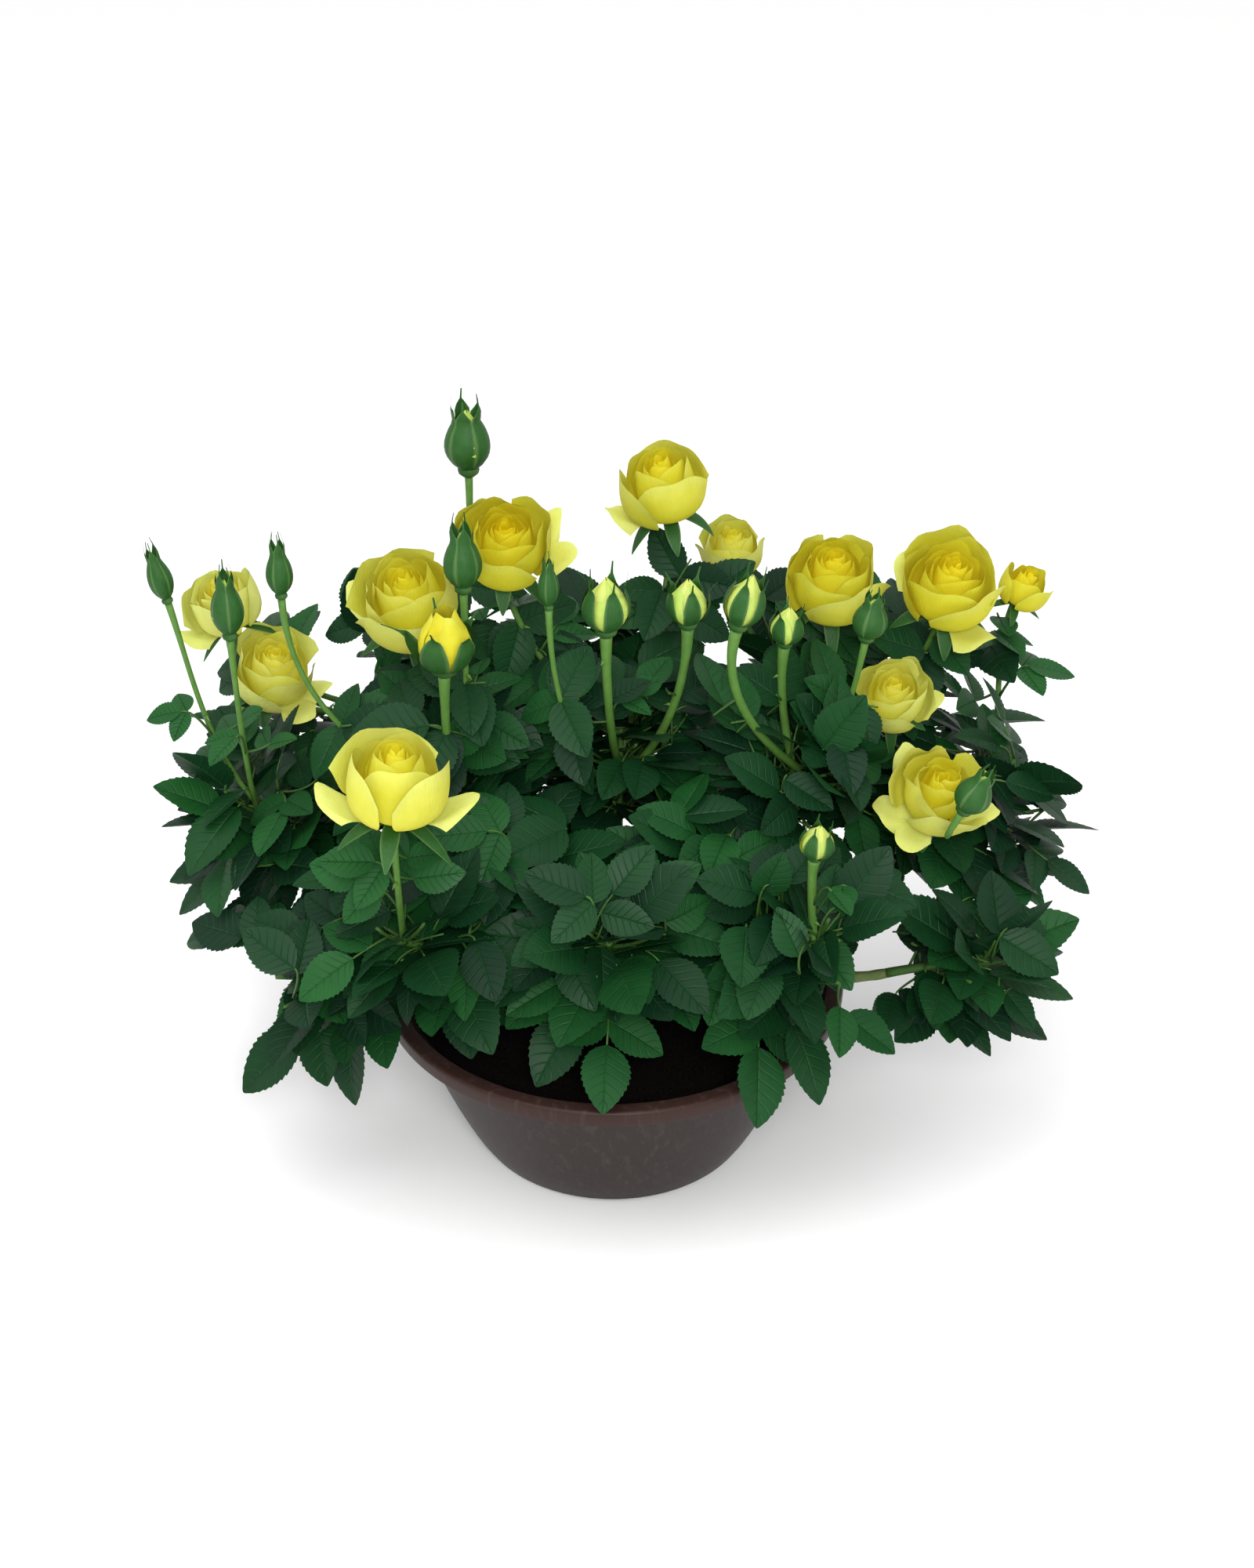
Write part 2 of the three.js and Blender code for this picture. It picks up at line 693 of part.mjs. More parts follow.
function bladesMeet(one, other) {
  return one.lines.some((line) => lineCrosses(line, other.halves))
    || other.lines.some((line) => lineCrosses(line, one.halves))
    || one.samples.some((point) => other.samples.some((taken) => taken.distanceTo(point) < KEEP.leaf));
}

// An aim outside the mass's own space is drawn back towards the mass's centre.
function drawnBack(aim, mass, plant) {
  const shares = [1, 0.9, 0.8, 0.7, 0.6, 0.5];
  const places = shares.map((share) => mass.centre.clone().lerp(aim, share));
  const fits = (place) => insideCell(place, mass, plant.masses) && clearOfBowl(place);
  return places.find(fits) ?? places.at(-1);
}

// Twigs reach for the mass's named tips first, and then spread from low to high through its reach.
function twigAims(random, mass, plant) {
  const aims = mass.tips.map(vector);
  const turn = random() * 2 * Math.PI;
  const spread = TWIG.perMass - aims.length;
  for (let i = 0; i < spread; i += 1) {
    const height = TWIG.lowest + ((TWIG.highest - TWIG.lowest) * i) / (spread - 1);
    const angle = turn + i * GOLDEN_ANGLE + TWIG.turnVariation * (random() - 0.5);
    const level = Math.sqrt(1 - height ** 2);
    const aim = new THREE.Vector3(level * Math.cos(angle), level * Math.sin(angle), height);
    aims.push(drawnBack(aim.multiply(mass.reach).add(mass.centre), mass, plant));
  }
  return aims;
}

// A twig runs from the stem towards its aim, so that its end leaflet's tip lies there.
function twigTowards(random, start, aim) {
  const forward = aim.clone().sub(start).normalize();
  const outward = new THREE.Vector3(start.x, start.y, 0).normalize();
  const sun = UP.clone().addScaledVector(outward, POSTURE.sunward);
  sun.x += POSTURE.spread * (random() - 0.5);
  sun.y += POSTURE.spread * (random() - 0.5);
  const side = forward.clone().cross(sun).normalize();
  const face = side.clone().cross(forward).normalize();
  const size = LEAFLET.length * (1 - LEAFLET.variation + 2 * LEAFLET.variation * random());
  const length = Math.max(aim.distanceTo(start) - size, TWIG.shortest);
  const end = start.clone().addScaledVector(forward, length);
  const leaflets = [{ root: end, along: forward, face, length: size }];
  const room = Math.floor((length - TWIG.firstPair) / TWIG.pairSpacing + 0.5);
  const pairs = THREE.MathUtils.clamp(room, 1, TWIG.mostPairs);
  for (let pair = 0; pair < TWIG.mostPairs; pair += 1) {
    const node = end.clone().addScaledVector(forward, -TWIG.firstPair - pair * TWIG.pairSpacing);
    for (const hand of [-1, 1]) {
      const splay = hand * (POSTURE.splay + POSTURE.splayVariation * (random() - 0.5));
      const tilt = POSTURE.tilt * (random() - 0.5);
      const along = forward.clone().multiplyScalar(Math.cos(splay)).addScaledVector(side, Math.sin(splay));
      const leafletFace = face.clone().addScaledVector(forward, tilt);
      leafletFace.addScaledVector(along, -leafletFace.dot(along)).normalize();
      const leafletLength = size * (1 - POSTURE.shrink * (1 + pair));
      if (pair < pairs) leaflets.push({ root: node, along, face: leafletFace, length: leafletLength });
    }
  }
  for (const leaflet of leaflets) leaflet.width = LEAFLET.width * leaflet.length;
  return { start, end, leaflets };
}

// A mass grows twig by twig. A twig that isn't free is skipped, and so is each leaflet that isn't.
function growMass(mass, plant) {
  const random = seededNumbers(plant.masses.indexOf(mass) + 1);
  const aims = twigAims(random, mass, plant);
  const kept = [];
  const blades = [];
  const twigChains = [];
  aims.forEach((aim, number) => {
    const start = mass.stem.getPoint(STEM.firstTwig + ((1 - STEM.firstTwig) * number) / (aims.length - 1));
    const twig = twigTowards(random, start, aim);
    const limbs = [...plant.limbs, ...twigChains];
    const outer = [0.5, 0.75, 1].map((share) => twig.start.clone().lerp(twig.end, share));
    if (!isFree(outer, mass, plant, limbs)) return;
    if (blades.some((blade) => lineCrosses([twig.start, twig.end], blade.halves))) return;
    twig.leaflets = twig.leaflets.filter((leaflet) => {
      const space = bladeSpace(leaflet);
      if (!isFree(space.samples, mass, plant, limbs)) return false;
      const isCut = (limb) => limbLines(limb).some((line) => lineCrosses(line, space.halves));
      if (limbs.some(isCut)) return false;
      if (blades.some((blade) => bladesMeet(space, blade))) return false;
      blades.push(space);
      return true;
    });
    if (twig.leaflets.length === 0) return;
    kept.push(twig);
    twigChains.push(limbChain(mass, new THREE.LineCurve3(twig.start, twig.end), TWIG.baseRadius, 1));
  });
  return kept;
}

// ------------------------------------------------------------------ the whole plant

function twigGeometries(twig) {
  const stalk = limbGeometry(new THREE.LineCurve3(twig.start, twig.end), TWIG, 1);
  return [stalk, ...twig.leaflets.map(bladeGeometry)];
}

function distanceToTwig(point, twig) {
  const toLeaflets = twig.leaflets.map((leaflet) => (
    distanceToSegment(point, leaflet.root, onBlade(leaflet, 1, 0))));
  return Math.min(distanceToSegment(point, twig.start, twig.end), ...toLeaflets);
}

// A mass is one fused body. Where its surface pinches, the twig nearest to that place is left out.
function massSolid(mass, plant) {
  const limbs = [limbGeometry(mass.stem, STEM, STEM.steps)];
  for (const flower of mass.flowers) {
    limbs.push(limbGeometry(flower.stalk, STALK, STALK.steps));
    limbs.push(...(flower.kind === "bloom" ? bloomGeometries(flower) : budGeometries(flower)));
  }
  const twigs = growMass(mass, plant);
  for (let attempt = 0; attempt < FUSING.mostMends; attempt += 1) {
    const body = fuse([...limbs, ...twigs.flatMap(twigGeometries)]);
    const [pinched] = FUSING.tolerances.flatMap((tolerance) => pinches(body, tolerance));
    if (!pinched) return body;
    const nearest = twigs.reduce((best, twig) => (
      distanceToTwig(pinched, twig) < distanceToTwig(pinched, best) ? twig : best));
    twigs.splice(twigs.indexOf(nearest), 1);
  }
  throw new Error(`the foliage of ${mass.name} stays pinched`);
}

function planPlant() {
  const masses = MASSES.map((entry) => ({
    name: entry.name,
    centre: vector(entry.centre),
    reach: vector(entry.reach),
    size: (entry.reach[0] + entry.reach[1] + entry.reach[2]) / 3,
    tips: entry.tips,
    flowers: [],
  }));
  layOutCanes(masses);
  for (const flower of [...BLOOMS.map(bloomForm), ...BUDS.map(budForm)]) placeFlower(flower, masses);
  const limbs = [];
  const heads = [];
  for (const mass of masses) {
    limbs.push(limbChain("cane", mass.cane, CANE.baseRadius));
    limbs.push(limbChain(mass, mass.stem, STEM.baseRadius));
    for (const flower of mass.flowers) {
      limbs.push(limbChain(mass, flower.stalk, STALK.tipRadius));
      heads.push({ centre: flower.centre, radius: flower.radius });
    }
  }
  return { masses, limbs, heads };
}

function namedMesh(name, solid, finish) {
  const mesh = new THREE.Mesh(toGeometry(solid), new THREE.MeshStandardMaterial(finish));
  mesh.name = name;
  return mesh;
}

const plant = planPlant();
const rose = new THREE.Group();
rose.add(namedMesh("bowl", bowlSolid(), PLASTIC));
rose.add(namedMesh("soil", soilSolid(), COMPOST));
rose.add(namedMesh("crown", crownSolid(), BARK));
for (const mass of plant.masses) {
  rose.add(namedMesh(`cane_${mass.name}`, toSolid(limbGeometry(mass.cane, CANE, CANE.steps)), BARK));
  rose.add(namedMesh(`foliage_${mass.name}`, massSolid(mass, plant), FOLIAGE));
}

export default rose;
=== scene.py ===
# %% [markdown]
# # A yellow patio rose in a bowl
# This lesson dresses a potted rose: a brown bowl of compost, a woody crown and its canes, leaves, buds
# and open flowers. The frame holds plain solids that say where everything is. Each piece below is
# worked out from the same named sizes, and grows by the same seeded rule, as those solids.

# %% The frame
import math

import bpy
import numpy as np
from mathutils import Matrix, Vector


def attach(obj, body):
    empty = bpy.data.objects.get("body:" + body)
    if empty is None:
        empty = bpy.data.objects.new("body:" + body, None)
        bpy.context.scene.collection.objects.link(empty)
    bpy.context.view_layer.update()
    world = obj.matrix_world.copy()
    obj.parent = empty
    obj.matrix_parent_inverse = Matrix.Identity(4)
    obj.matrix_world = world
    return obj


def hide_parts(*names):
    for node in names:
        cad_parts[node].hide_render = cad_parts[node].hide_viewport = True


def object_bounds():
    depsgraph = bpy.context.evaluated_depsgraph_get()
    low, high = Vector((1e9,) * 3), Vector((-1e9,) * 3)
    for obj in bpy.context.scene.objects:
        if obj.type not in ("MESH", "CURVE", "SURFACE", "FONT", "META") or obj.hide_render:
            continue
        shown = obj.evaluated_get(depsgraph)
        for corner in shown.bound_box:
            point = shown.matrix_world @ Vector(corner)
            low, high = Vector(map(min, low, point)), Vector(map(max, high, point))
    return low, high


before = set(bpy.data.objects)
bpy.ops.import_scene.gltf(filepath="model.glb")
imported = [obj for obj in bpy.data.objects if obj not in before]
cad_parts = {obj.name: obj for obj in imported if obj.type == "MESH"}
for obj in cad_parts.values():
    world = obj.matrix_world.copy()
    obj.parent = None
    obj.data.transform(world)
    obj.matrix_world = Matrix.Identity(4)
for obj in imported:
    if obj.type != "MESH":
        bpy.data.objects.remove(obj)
solid_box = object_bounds()
print("nodes in the frame:", len(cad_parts))

# %% [markdown]
# ## The camera
# A plant in a low bowl is looked down on, so the camera stands a little above it. The lens could be
# any, but one near 50 mm keeps the far side of the plant about as large as the near side.
# The Standard view transform is chosen because it keeps a strong yellow strong.

# %% Camera and view
EYE = (0.0, -1.060, 0.8645)
LOOK_DOWN, LOOK_RIGHT = math.radians(30.48), math.radians(0.465)
LENS = 48.9


def placed(name, data, at=(0, 0, 0)):
    """A new object in the scene."""
    thing = bpy.data.objects.new(name, data)
    thing.location = at
    bpy.context.collection.objects.link(thing)
    return thing


camera = placed("camera", bpy.data.cameras.new("camera"), EYE)
camera.rotation_euler = (math.pi / 2 - LOOK_DOWN, 0, -LOOK_RIGHT)
camera.data.lens = LENS
bpy.context.scene.camera = camera
bpy.context.scene.view_settings.view_transform = "Standard"
print("camera at", EYE)

# %% [markdown]
# ## Node maths
# A material's pattern is arithmetic on numbers that vary over the surface. Building each Math node by
# hand hides the formula, so a small class wraps a socket and lets Python's own operators add the
# nodes. `Finish.node` makes every other node from its type, its settings and its sockets.

# %% Socket arithmetic
class Value:
    """A number, colour or vector that flows out of a node."""

    def __init__(self, finish, socket):
        self.finish = finish
        self.socket = socket

    def maths(self, operation, *operands):
        return self.finish.node("ShaderNodeMath", {"operation": operation}, dict(enumerate(operands)))

    def __add__(self, other):
        return self.maths("ADD", self, other)

    def __sub__(self, other):
        return self.maths("SUBTRACT", self, other)

    def __rsub__(self, other):
        return self.maths("SUBTRACT", other, self)

    def __mul__(self, other):
        return self.maths("MULTIPLY", self, other)

    def __abs__(self):
        return self.maths("ABSOLUTE", self)

    __radd__ = __add__
    __rmul__ = __mul__

    def clamped(self):
        return self.maths("MINIMUM", self.maths("MAXIMUM", self, 0.0), 1.0)

    def wave(self, length):
        """A triangle wave from 0 up to the given length and back."""
        return self.maths("PINGPONG", self, length)


print("sockets take +, - and *")

# %% Finishes
class Finish:
    """A material, built node by node."""

    def __init__(self, name):
        self.material = bpy.data.materials.new(name)
        self.material.use_nodes = True
        self.tree = self.material.node_tree
        self.shader = self.tree.nodes["Principled BSDF"]

    def feed(self, socket, value):
        if isinstance(value, Value):
            self.tree.links.new(value.socket, socket)
        else:
            socket.default_value = value

    def node(self, kind, settings=None, sockets=None, output=0):
        node = self.tree.nodes.new(kind)
        for name, setting in (settings or {}).items():
            setattr(node, name, setting)
        for name, value in (sockets or {}).items():
            self.feed(node.inputs[name], value)
        return Value(self, node.outputs[output])

    def mix(self, share, low, high):
        """A colour between two others."""
        opaque = [c if isinstance(c, Value) else (*c, 1.0) for c in (low, high)]
        sockets = {0: share, 6: opaque[0], 7: opaque[1]}
        return self.node("ShaderNodeMix", {"data_type": "RGBA"}, sockets, output=2)

    def noise(self, scale, detail=3.0, stretch=(1, 1, 1)):
        """Cloudy noise through space, from 0 to 1, with scale in lumps a metre."""
        place = self.node("ShaderNodeTexCoord", output="Object")
        place = self.node("ShaderNodeVectorMath", {"operation": "MULTIPLY"}, {0: place, 1: stretch})
        sockets = {"Vector": place, "Scale": scale, "Detail": detail}
        return self.node("ShaderNodeTexNoise", None, sockets)

    def spot(self):
        """The three numbers stored at each corner of a piece."""
        stored = self.node("ShaderNodeAttribute", {"attribute_name": "spot"}, output="Vector")
        return [self.node("ShaderNodeSeparateXYZ", None, {0: stored}, output=i) for i in range(3)]

    def bump(self, height, depth):
        """A relief, with its depth in metres."""
        sockets = {"Height": height, "Distance": depth, "Strength": 1.0}
        return self.node("ShaderNodeBump", None, sockets)

    def surface(self, **sockets):
        """Feeds the shader's sockets, by their names with _ for each space."""
        for name, value in sockets.items():
            self.feed(self.shader.inputs[name.replace("_", " ")], value)
        return self.material


print("a finish is a material and its nodes")

# %% [markdown]
# ## Stage
# The plant stands on a plain pale floor that runs out of view. Studio light could be one strong lamp,
# but leaves want soft light with a front fill, so that they are bright where they face the viewer and
# dark in the gaps. A white world does the rest.

# %% Floor and lights
FLOOR_HALF = 12.0
LIGHTS = {
    "overhead": {"at": (-0.6, -0.7, 2.2), "size": 1.4, "watts": 16},
    "front_fill": {"at": (0.1, -1.5, 1.2), "size": 0.45, "watts": 18},
}
SKY = {"strength": 0.5, "spread": math.radians(70)}
WORLD_STRENGTH = 0.95

floor_mesh = bpy.data.meshes.new("floor")
floor_corners = [(x * FLOOR_HALF, y * FLOOR_HALF, 0) for x, y in ((-1, -1), (1, -1), (1, 1), (-1, 1))]
floor_mesh.from_pydata(floor_corners, [], [(0, 1, 2, 3)])
paper = Finish("pale_paper")
paper_colour = paper.mix(paper.noise(40), (0.86, 0.86, 0.86), (0.88, 0.88, 0.875))
floor_mesh.materials.append(paper.surface(Base_Color=paper_colour, Roughness=0.9))
floor = placed("floor", floor_mesh)

plant_middle = (solid_box[0] + solid_box[1]) / 2
for light_name, light in LIGHTS.items():
    lamp = bpy.data.lights.new(light_name, "AREA")
    lamp.size, lamp.energy = light["size"], light["watts"]
    holder = placed(light_name, lamp, light["at"])
    away = holder.location - plant_middle
    holder.rotation_euler = away.to_track_quat("Z", "Y").to_euler()

sky = placed("sky", bpy.data.lights.new("sky", "SUN"))
sky.data.energy, sky.data.angle = SKY["strength"], SKY["spread"]
world = bpy.data.worlds.new("studio")
world.use_nodes = True
background = world.node_tree.nodes["Background"].inputs
background["Color"].default_value = (1, 1, 1, 1)
background["Strength"].default_value = WORLD_STRENGTH
bpy.context.scene.world = world
print("lights:", ", ".join(LIGHTS))

# %% [markdown]
# ## Meshes from parts
# A rose has thousands of leaflets. An object for each would be slow, so the parts of one kind are
# joined into one mesh. Each corner stores a spot: two numbers that say where it is on its own part,
# such as along and across a leaflet, and a third that varies from part to part. Materials read it.

# %% Parts and pieces
MM = 0.001


def unit(vector):
    return vector / np.linalg.norm(vector)


class Part:
    """A bit of mesh in millimetres: corners, faces and each corner's spot."""

    def __init__(self, corners, faces, spots):
        self.corners = np.asarray(corners, float)
        self.faces = faces
        self.spots = np.asarray(spots, float)


def joined_piece(name, parts, finish, nodes=()):
    """One piece of the rose from its parts, standing in for the named nodes of the frame."""
    corners = np.concatenate([part.corners for part in parts]) * MM
    spots = np.concatenate([part.spots for part in parts])
    faces, start = [], 0
    for part in parts:
        faces.extend(tuple(start + i for i in face) for face in part.faces)
        start += len(part.corners)
    mesh = bpy.data.meshes.new(name)
    mesh.from_pydata(corners.tolist(), [], faces)
    mesh.attributes.new("spot", "FLOAT_VECTOR", "POINT").data.foreach_set("vector", spots.ravel())
    mesh.shade_smooth()
    mesh.materials.append(finish.material)
    piece = placed(name, mesh)
    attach(piece, "root")
    if nodes:
        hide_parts(*nodes)
    triangles = sum(len(face) - 2 for face in faces)
    print(f"{name}: {len(parts)} parts, {triangles} triangles")
    return piece


print("parts are measured in units of", MM, "m")

# %% Turned forms, sheets and tubes
def turned(profile, segments, wobble=None):
    """A turned form from radii and heights. The first and the last point may lie on the axis."""
    corners, spots, rings = [], [], []
    for row, (radius, height) in enumerate(profile):
        count = 1 if radius == 0 else segments
        rings.append([len(corners) + i for i in range(count)] * (segments // count))
        for i in range(count):
            turn = 2 * math.pi * i / segments
            swell = 1 if wobble is None else wobble(turn, height)
            corners.append((radius * swell * math.cos(turn), radius * swell * math.sin(turn), height))
            spots.append((row / len(profile), turn / (2 * math.pi), 0.5))
    faces = []
    for lower, upper in zip(rings, rings[1:]):
        for i in range(segments):
            k = (i + 1) % segments
            corner_ids = dict.fromkeys((lower[i], lower[k], upper[k], upper[i]))
            if len(corner_ids) > 2:
                faces.append(tuple(corner_ids))
    return Part(corners, faces, spots)


def grid(columns, rows, corner, order=1):
    """A sheet of corners, where corner(i, k) gives the place and the spot of each."""
    corners, spots = zip(*(corner(i, k) for i in range(columns) for k in range(rows)))
    ends = [i * rows + k for i in range(1, columns) for k in range(1, rows)]
    faces = [(a - rows - 1, a - 1, a, a - rows)[::order] for a in ends]
    return Part(corners, faces, spots)


def stood(part, base, axis):
    """A part made round +Z, stood at a base point along an axis."""
    across = unit(np.cross((0.0, 1.0, 0.01), axis))
    third = np.cross(axis, across)
    part.corners = base + part.corners @ np.array([across, third, axis])
    return part


def tube(path, radii, sides, tone=0.5, relief=None):
    """A closed skin round a path of points."""
    path = np.asarray(path)
    tangents = np.gradient(path, axis=0)
    tangents /= np.linalg.norm(tangents, axis=1)[:, None]
    side = unit(np.cross(tangents[0], (0.31, 0.17, 0.93)))
    corners, spots = [], []
    for i, (point, tangent) in enumerate(zip(path, tangents)):
        side = unit(side - tangent * (side @ tangent))
        third = np.cross(tangent, side)
        for k in range(sides):
            turn = 2 * math.pi * k / sides
            radius = radii[i] * (1 if relief is None else relief(i, turn))
            corners.append(point + radius * (math.cos(turn) * side + math.sin(turn) * third))
            spots.append((i / (len(path) - 1), k / sides, tone))
    faces = []
    for i in range(len(path) - 1):
        for k in range(sides):
            n = (k + 1) % sides
            faces.append((i * sides + k, i * sides + n, (i + 1) * sides + n, (i + 1) * sides + k))
    for ring, order in ((0, -1), (len(path) - 1, 1)):
        faces.append(tuple(ring * sides + k for k in range(sides))[::order])
    return Part(corners, faces, spots)


print("faces round a tube of six sides:", len(tube([(0, 0, 0), (0, 0, 1)], (1, 1), 6).faces))

# %% [markdown]
# ## The bowl
# The planter is a moulded bowl with a rolled lip and a short skirt under it. Four shallow channels
# with drain holes cross its foot. It could be sculpted, but a turned profile gives true circles, and
# boolean cuts give the channels their straight sides.

# %% The bowl's profile
BOWL = {
    "height": 112.0, "rim": 140.0, "mouth": 130.0, "skirt": 10.0, "body": 127.0, "foot": 84.0,
    "foot_edge": 3.0, "wall": 3.0, "floor": 5.0, "roundness": 0.8, "sides": 144, "sharp": 38.0,
}
SOIL_TOP = 92.0


def bowl_wall(height):
    share = height / (BOWL["height"] - BOWL["skirt"])
    return BOWL["foot"] + (BOWL["body"] - BOWL["foot"]) * share ** BOWL["roundness"]


def arc(centre, radius, start, end, steps):
    """Points on a round of a profile, between two angles in degrees."""
    angles = np.radians(np.linspace(start, end, steps))
    return [(centre[0] + radius * math.cos(a), centre[1] + radius * math.sin(a)) for a in angles]


wall_heights = np.linspace(BOWL["foot_edge"], BOWL["height"] - BOWL["skirt"] - 1, 15)
outside = [(bowl_wall(z), z) for z in wall_heights]
inside = [(r - BOWL["wall"], max(z, BOWL["floor"])) for r, z in outside][::-1]
foot_round = arc((BOWL["foot"] - 3.2, 2.2), 2.2, -90, -15, 5)

# Out under the skirt, round its edge and up, over the rolled lip, and in to the mouth.
skirt = [(BOWL["body"] + 0.4, 104.5), (136.6, 106.0), (137.4, 105.0), (137.6, 102.6)]
skirt += [*arc((138.7, 103.1), 1.1, 200, 360, 5), (140.0, 108.5)]
lip = [*arc((137.6, 109.6), 2.4, 0, 90, 7), *arc((132.2, 109.8), 2.2, 90, 175, 6), (129.2, 106.0)]
bowl_profile = [(0, 0), *foot_round, *outside, *skirt, *lip, *inside, (0, BOWL["floor"])]
print("points in the bowl's profile:", len(bowl_profile))

# %% Channels and drain holes
DRAIN = {
    "count": 4, "width": 34.0, "depth": 2.0, "start": 40.0,
    "hole": 4.0, "hole_at": 60.0, "hole_from": -10.0, "hole_to": 20.0, "sides": 24,
}
BOX_FACES = [(0, 1, 3, 2), (4, 6, 7, 5), (0, 4, 5, 1), (2, 3, 7, 6), (0, 2, 6, 4), (1, 5, 7, 3)]


def cut_from(piece, cutter_parts):
    """Cuts parts out of a piece and applies the cuts."""
    cutters = []
    for part in cutter_parts:
        mesh = bpy.data.meshes.new("cutter")
        mesh.from_pydata((part.corners * MM).tolist(), [], part.faces)
        cutters.append(placed("cutter", mesh))
        cut = piece.modifiers.new("cut", "BOOLEAN")
        cut.operation = "DIFFERENCE"
        cut.object = cutters[-1]
    evaluated = piece.evaluated_get(bpy.context.evaluated_depsgraph_get())
    piece.data = bpy.data.meshes.new_from_object(evaluated)
    piece.modifiers.clear()
    for cutter in cutters:
        bpy.data.objects.remove(cutter)


def drain_cutters():
    """A box for each channel across the foot, and a rod for each hole."""
    parts = []
    up = np.array([0, 0, 1])
    for i in range(DRAIN["count"]):
        turn = 2 * math.pi * i / DRAIN["count"] - math.pi / 2
        out = np.array([math.cos(turn), math.sin(turn), 0])
        across = np.array([-out[1], out[0], 0])
        corners = [
            out * r + across * (a * DRAIN["width"] / 2) + up * z
            for r in (DRAIN["start"], BOWL["body"])
            for a in (-1, 1)
            for z in (-DRAIN["depth"], DRAIN["depth"])
        ]
        parts.append(Part(corners, BOX_FACES, np.zeros((8, 3))))
        hole = [out * DRAIN["hole_at"] + up * z for z in (DRAIN["hole_from"], DRAIN["hole_to"])]
        parts.append(tube(hole, [DRAIN["hole"]] * 2, DRAIN["sides"]))
    return parts


print("cutters:", len(drain_cutters()))

# %% Bowl
LIP_FOOT = 0.1015

plastic = Finish("brown_plastic")
grain = plastic.noise(1400, 2)
cloud = plastic.noise(18, 4)
scuffs = plastic.noise(260, 5, (1, 1, 0.12))
place = plastic.node("ShaderNodeTexCoord", output="Object")
height_up = plastic.node("ShaderNodeSeparateXYZ", None, {0: place}, output=2)
lip_share = ((height_up - LIP_FOOT) * 900).clamped()
body_colour = plastic.mix(cloud, (0.0155, 0.0092, 0.0085), (0.0230, 0.0145, 0.0135))
lip_colour = plastic.mix(cloud, (0.026, 0.0120, 0.0095), (0.036, 0.0180, 0.0145))
clean = plastic.mix(lip_share, body_colour, lip_colour)
plastic.surface(
    Base_Color=plastic.mix(((scuffs - 0.52) * 5).clamped() * 0.25, clean, (0.085, 0.068, 0.060)),
    Roughness=0.34 + scuffs * 0.16,
    Specular_IOR_Level=0.15,
    Normal=plastic.bump(grain * 0.4 + scuffs * 0.6, 0.00012),
)
bowl = joined_piece("bowl_shell", [turned(bowl_profile, BOWL["sides"])], plastic, ["bowl"])
cut_from(bowl, drain_cutters())
bowl.data.shade_smooth()
bowl.data.set_sharp_from_angle(angle=math.radians(BOWL["sharp"]))
print("bowl faces after the cuts:", len(bowl.data.polygons))

# %% [markdown]
# ## The compost
# Potting compost is dark, damp and crumbly. One bumpy disc would look like mud, so the top is a
# disc of heaved mesh with loose crumbs lying on it.

# %% Heaved compost and crumbs
soil_random = np.random.default_rng(7)
SOIL = {"rings": 40, "sides": 120, "floor": 20.0, "heave": 1.6, "crumbs": 900, "crumb": (0.8, 2.6)}


def heave(x, y):
    """Height of the compost above its mean level, from a few crossed waves."""
    return SOIL["heave"] * (
        0.5 * math.sin(x * 0.11 + 1.3) * math.sin(y * 0.13 + 0.4)
        + 0.3 * math.sin(x * 0.31 + y * 0.21)
        + 0.2 * math.sin(y * 0.52 - x * 0.43 + 2.0)
    )


def soil_bed():
    outer = bowl_wall(SOIL_TOP) - BOWL["wall"] - 0.6
    profile = [(0, SOIL["floor"]), (bowl_wall(SOIL["floor"]) - BOWL["wall"] - 1, SOIL["floor"])]
    profile += [(outer * (1 - i / SOIL["rings"]), SOIL_TOP - 1) for i in range(SOIL["rings"] + 1)]
    bed = turned(profile, SOIL["sides"])
    for corner in bed.corners:
        if corner[2] > SOIL_TOP - 2:
            corner[2] += heave(corner[0], corner[1]) + soil_random.uniform(-0.5, 0.5)
    return bed


CRUMB_CORNERS = np.array([(1, 0, 0), (-1, 0, 0), (0, 1, 0), (0, -1, 0), (0, 0, 1), (0, 0, -1)], float)
CRUMB_FACES = [(0, 2, 4), (2, 1, 4), (1, 3, 4), (3, 0, 4), (2, 0, 5), (1, 2, 5), (3, 1, 5), (0, 3, 5)]


def crumb():
    reach = (bowl_wall(SOIL_TOP) - 8) * math.sqrt(soil_random.uniform(0.02, 0.98))
    turn = soil_random.uniform(0, 2 * math.pi)
    x, y = reach * math.cos(turn), reach * math.sin(turn)
    size = soil_random.uniform(*SOIL["crumb"])
    shape = CRUMB_CORNERS * soil_random.uniform(0.6, 1.2, (6, 1)) * size
    place = np.array([x, y, SOIL_TOP - 1 + heave(x, y) + 0.3 * size])
    return Part(shape + place, CRUMB_FACES, np.full((6, 3), soil_random.uniform()))


print("compost heaves by up to", SOIL["heave"], "mm")

# %% Compost bed
compost = Finish("potting_compost")
crumbs_seen = compost.noise(420, 6)
compost_colour = compost.mix(crumbs_seen, (0.0012, 0.0011, 0.0011), (0.0075, 0.0055, 0.0045))
compost.surface(
    Base_Color=compost_colour,
    Roughness=0.95,
    Specular_IOR_Level=0.06,
    Normal=compost.bump(crumbs_seen, 0.0012),
)
soil_parts = [soil_bed(), *(crumb() for _ in range(SOIL["crumbs"]))]
joined_piece("compost_bed", soil_parts, compost, ["soil"])

# %% [markdown]
# ## Where everything grows
# The crown is the swollen foot of the plant. From it one cane runs to each mass of foliage, and the
# mass's own stem carries on from the cane's tip. The masses, flowers and buds are named here with the
# sizes that the solids use, in millimetres, so that the dressed plant keeps their places.

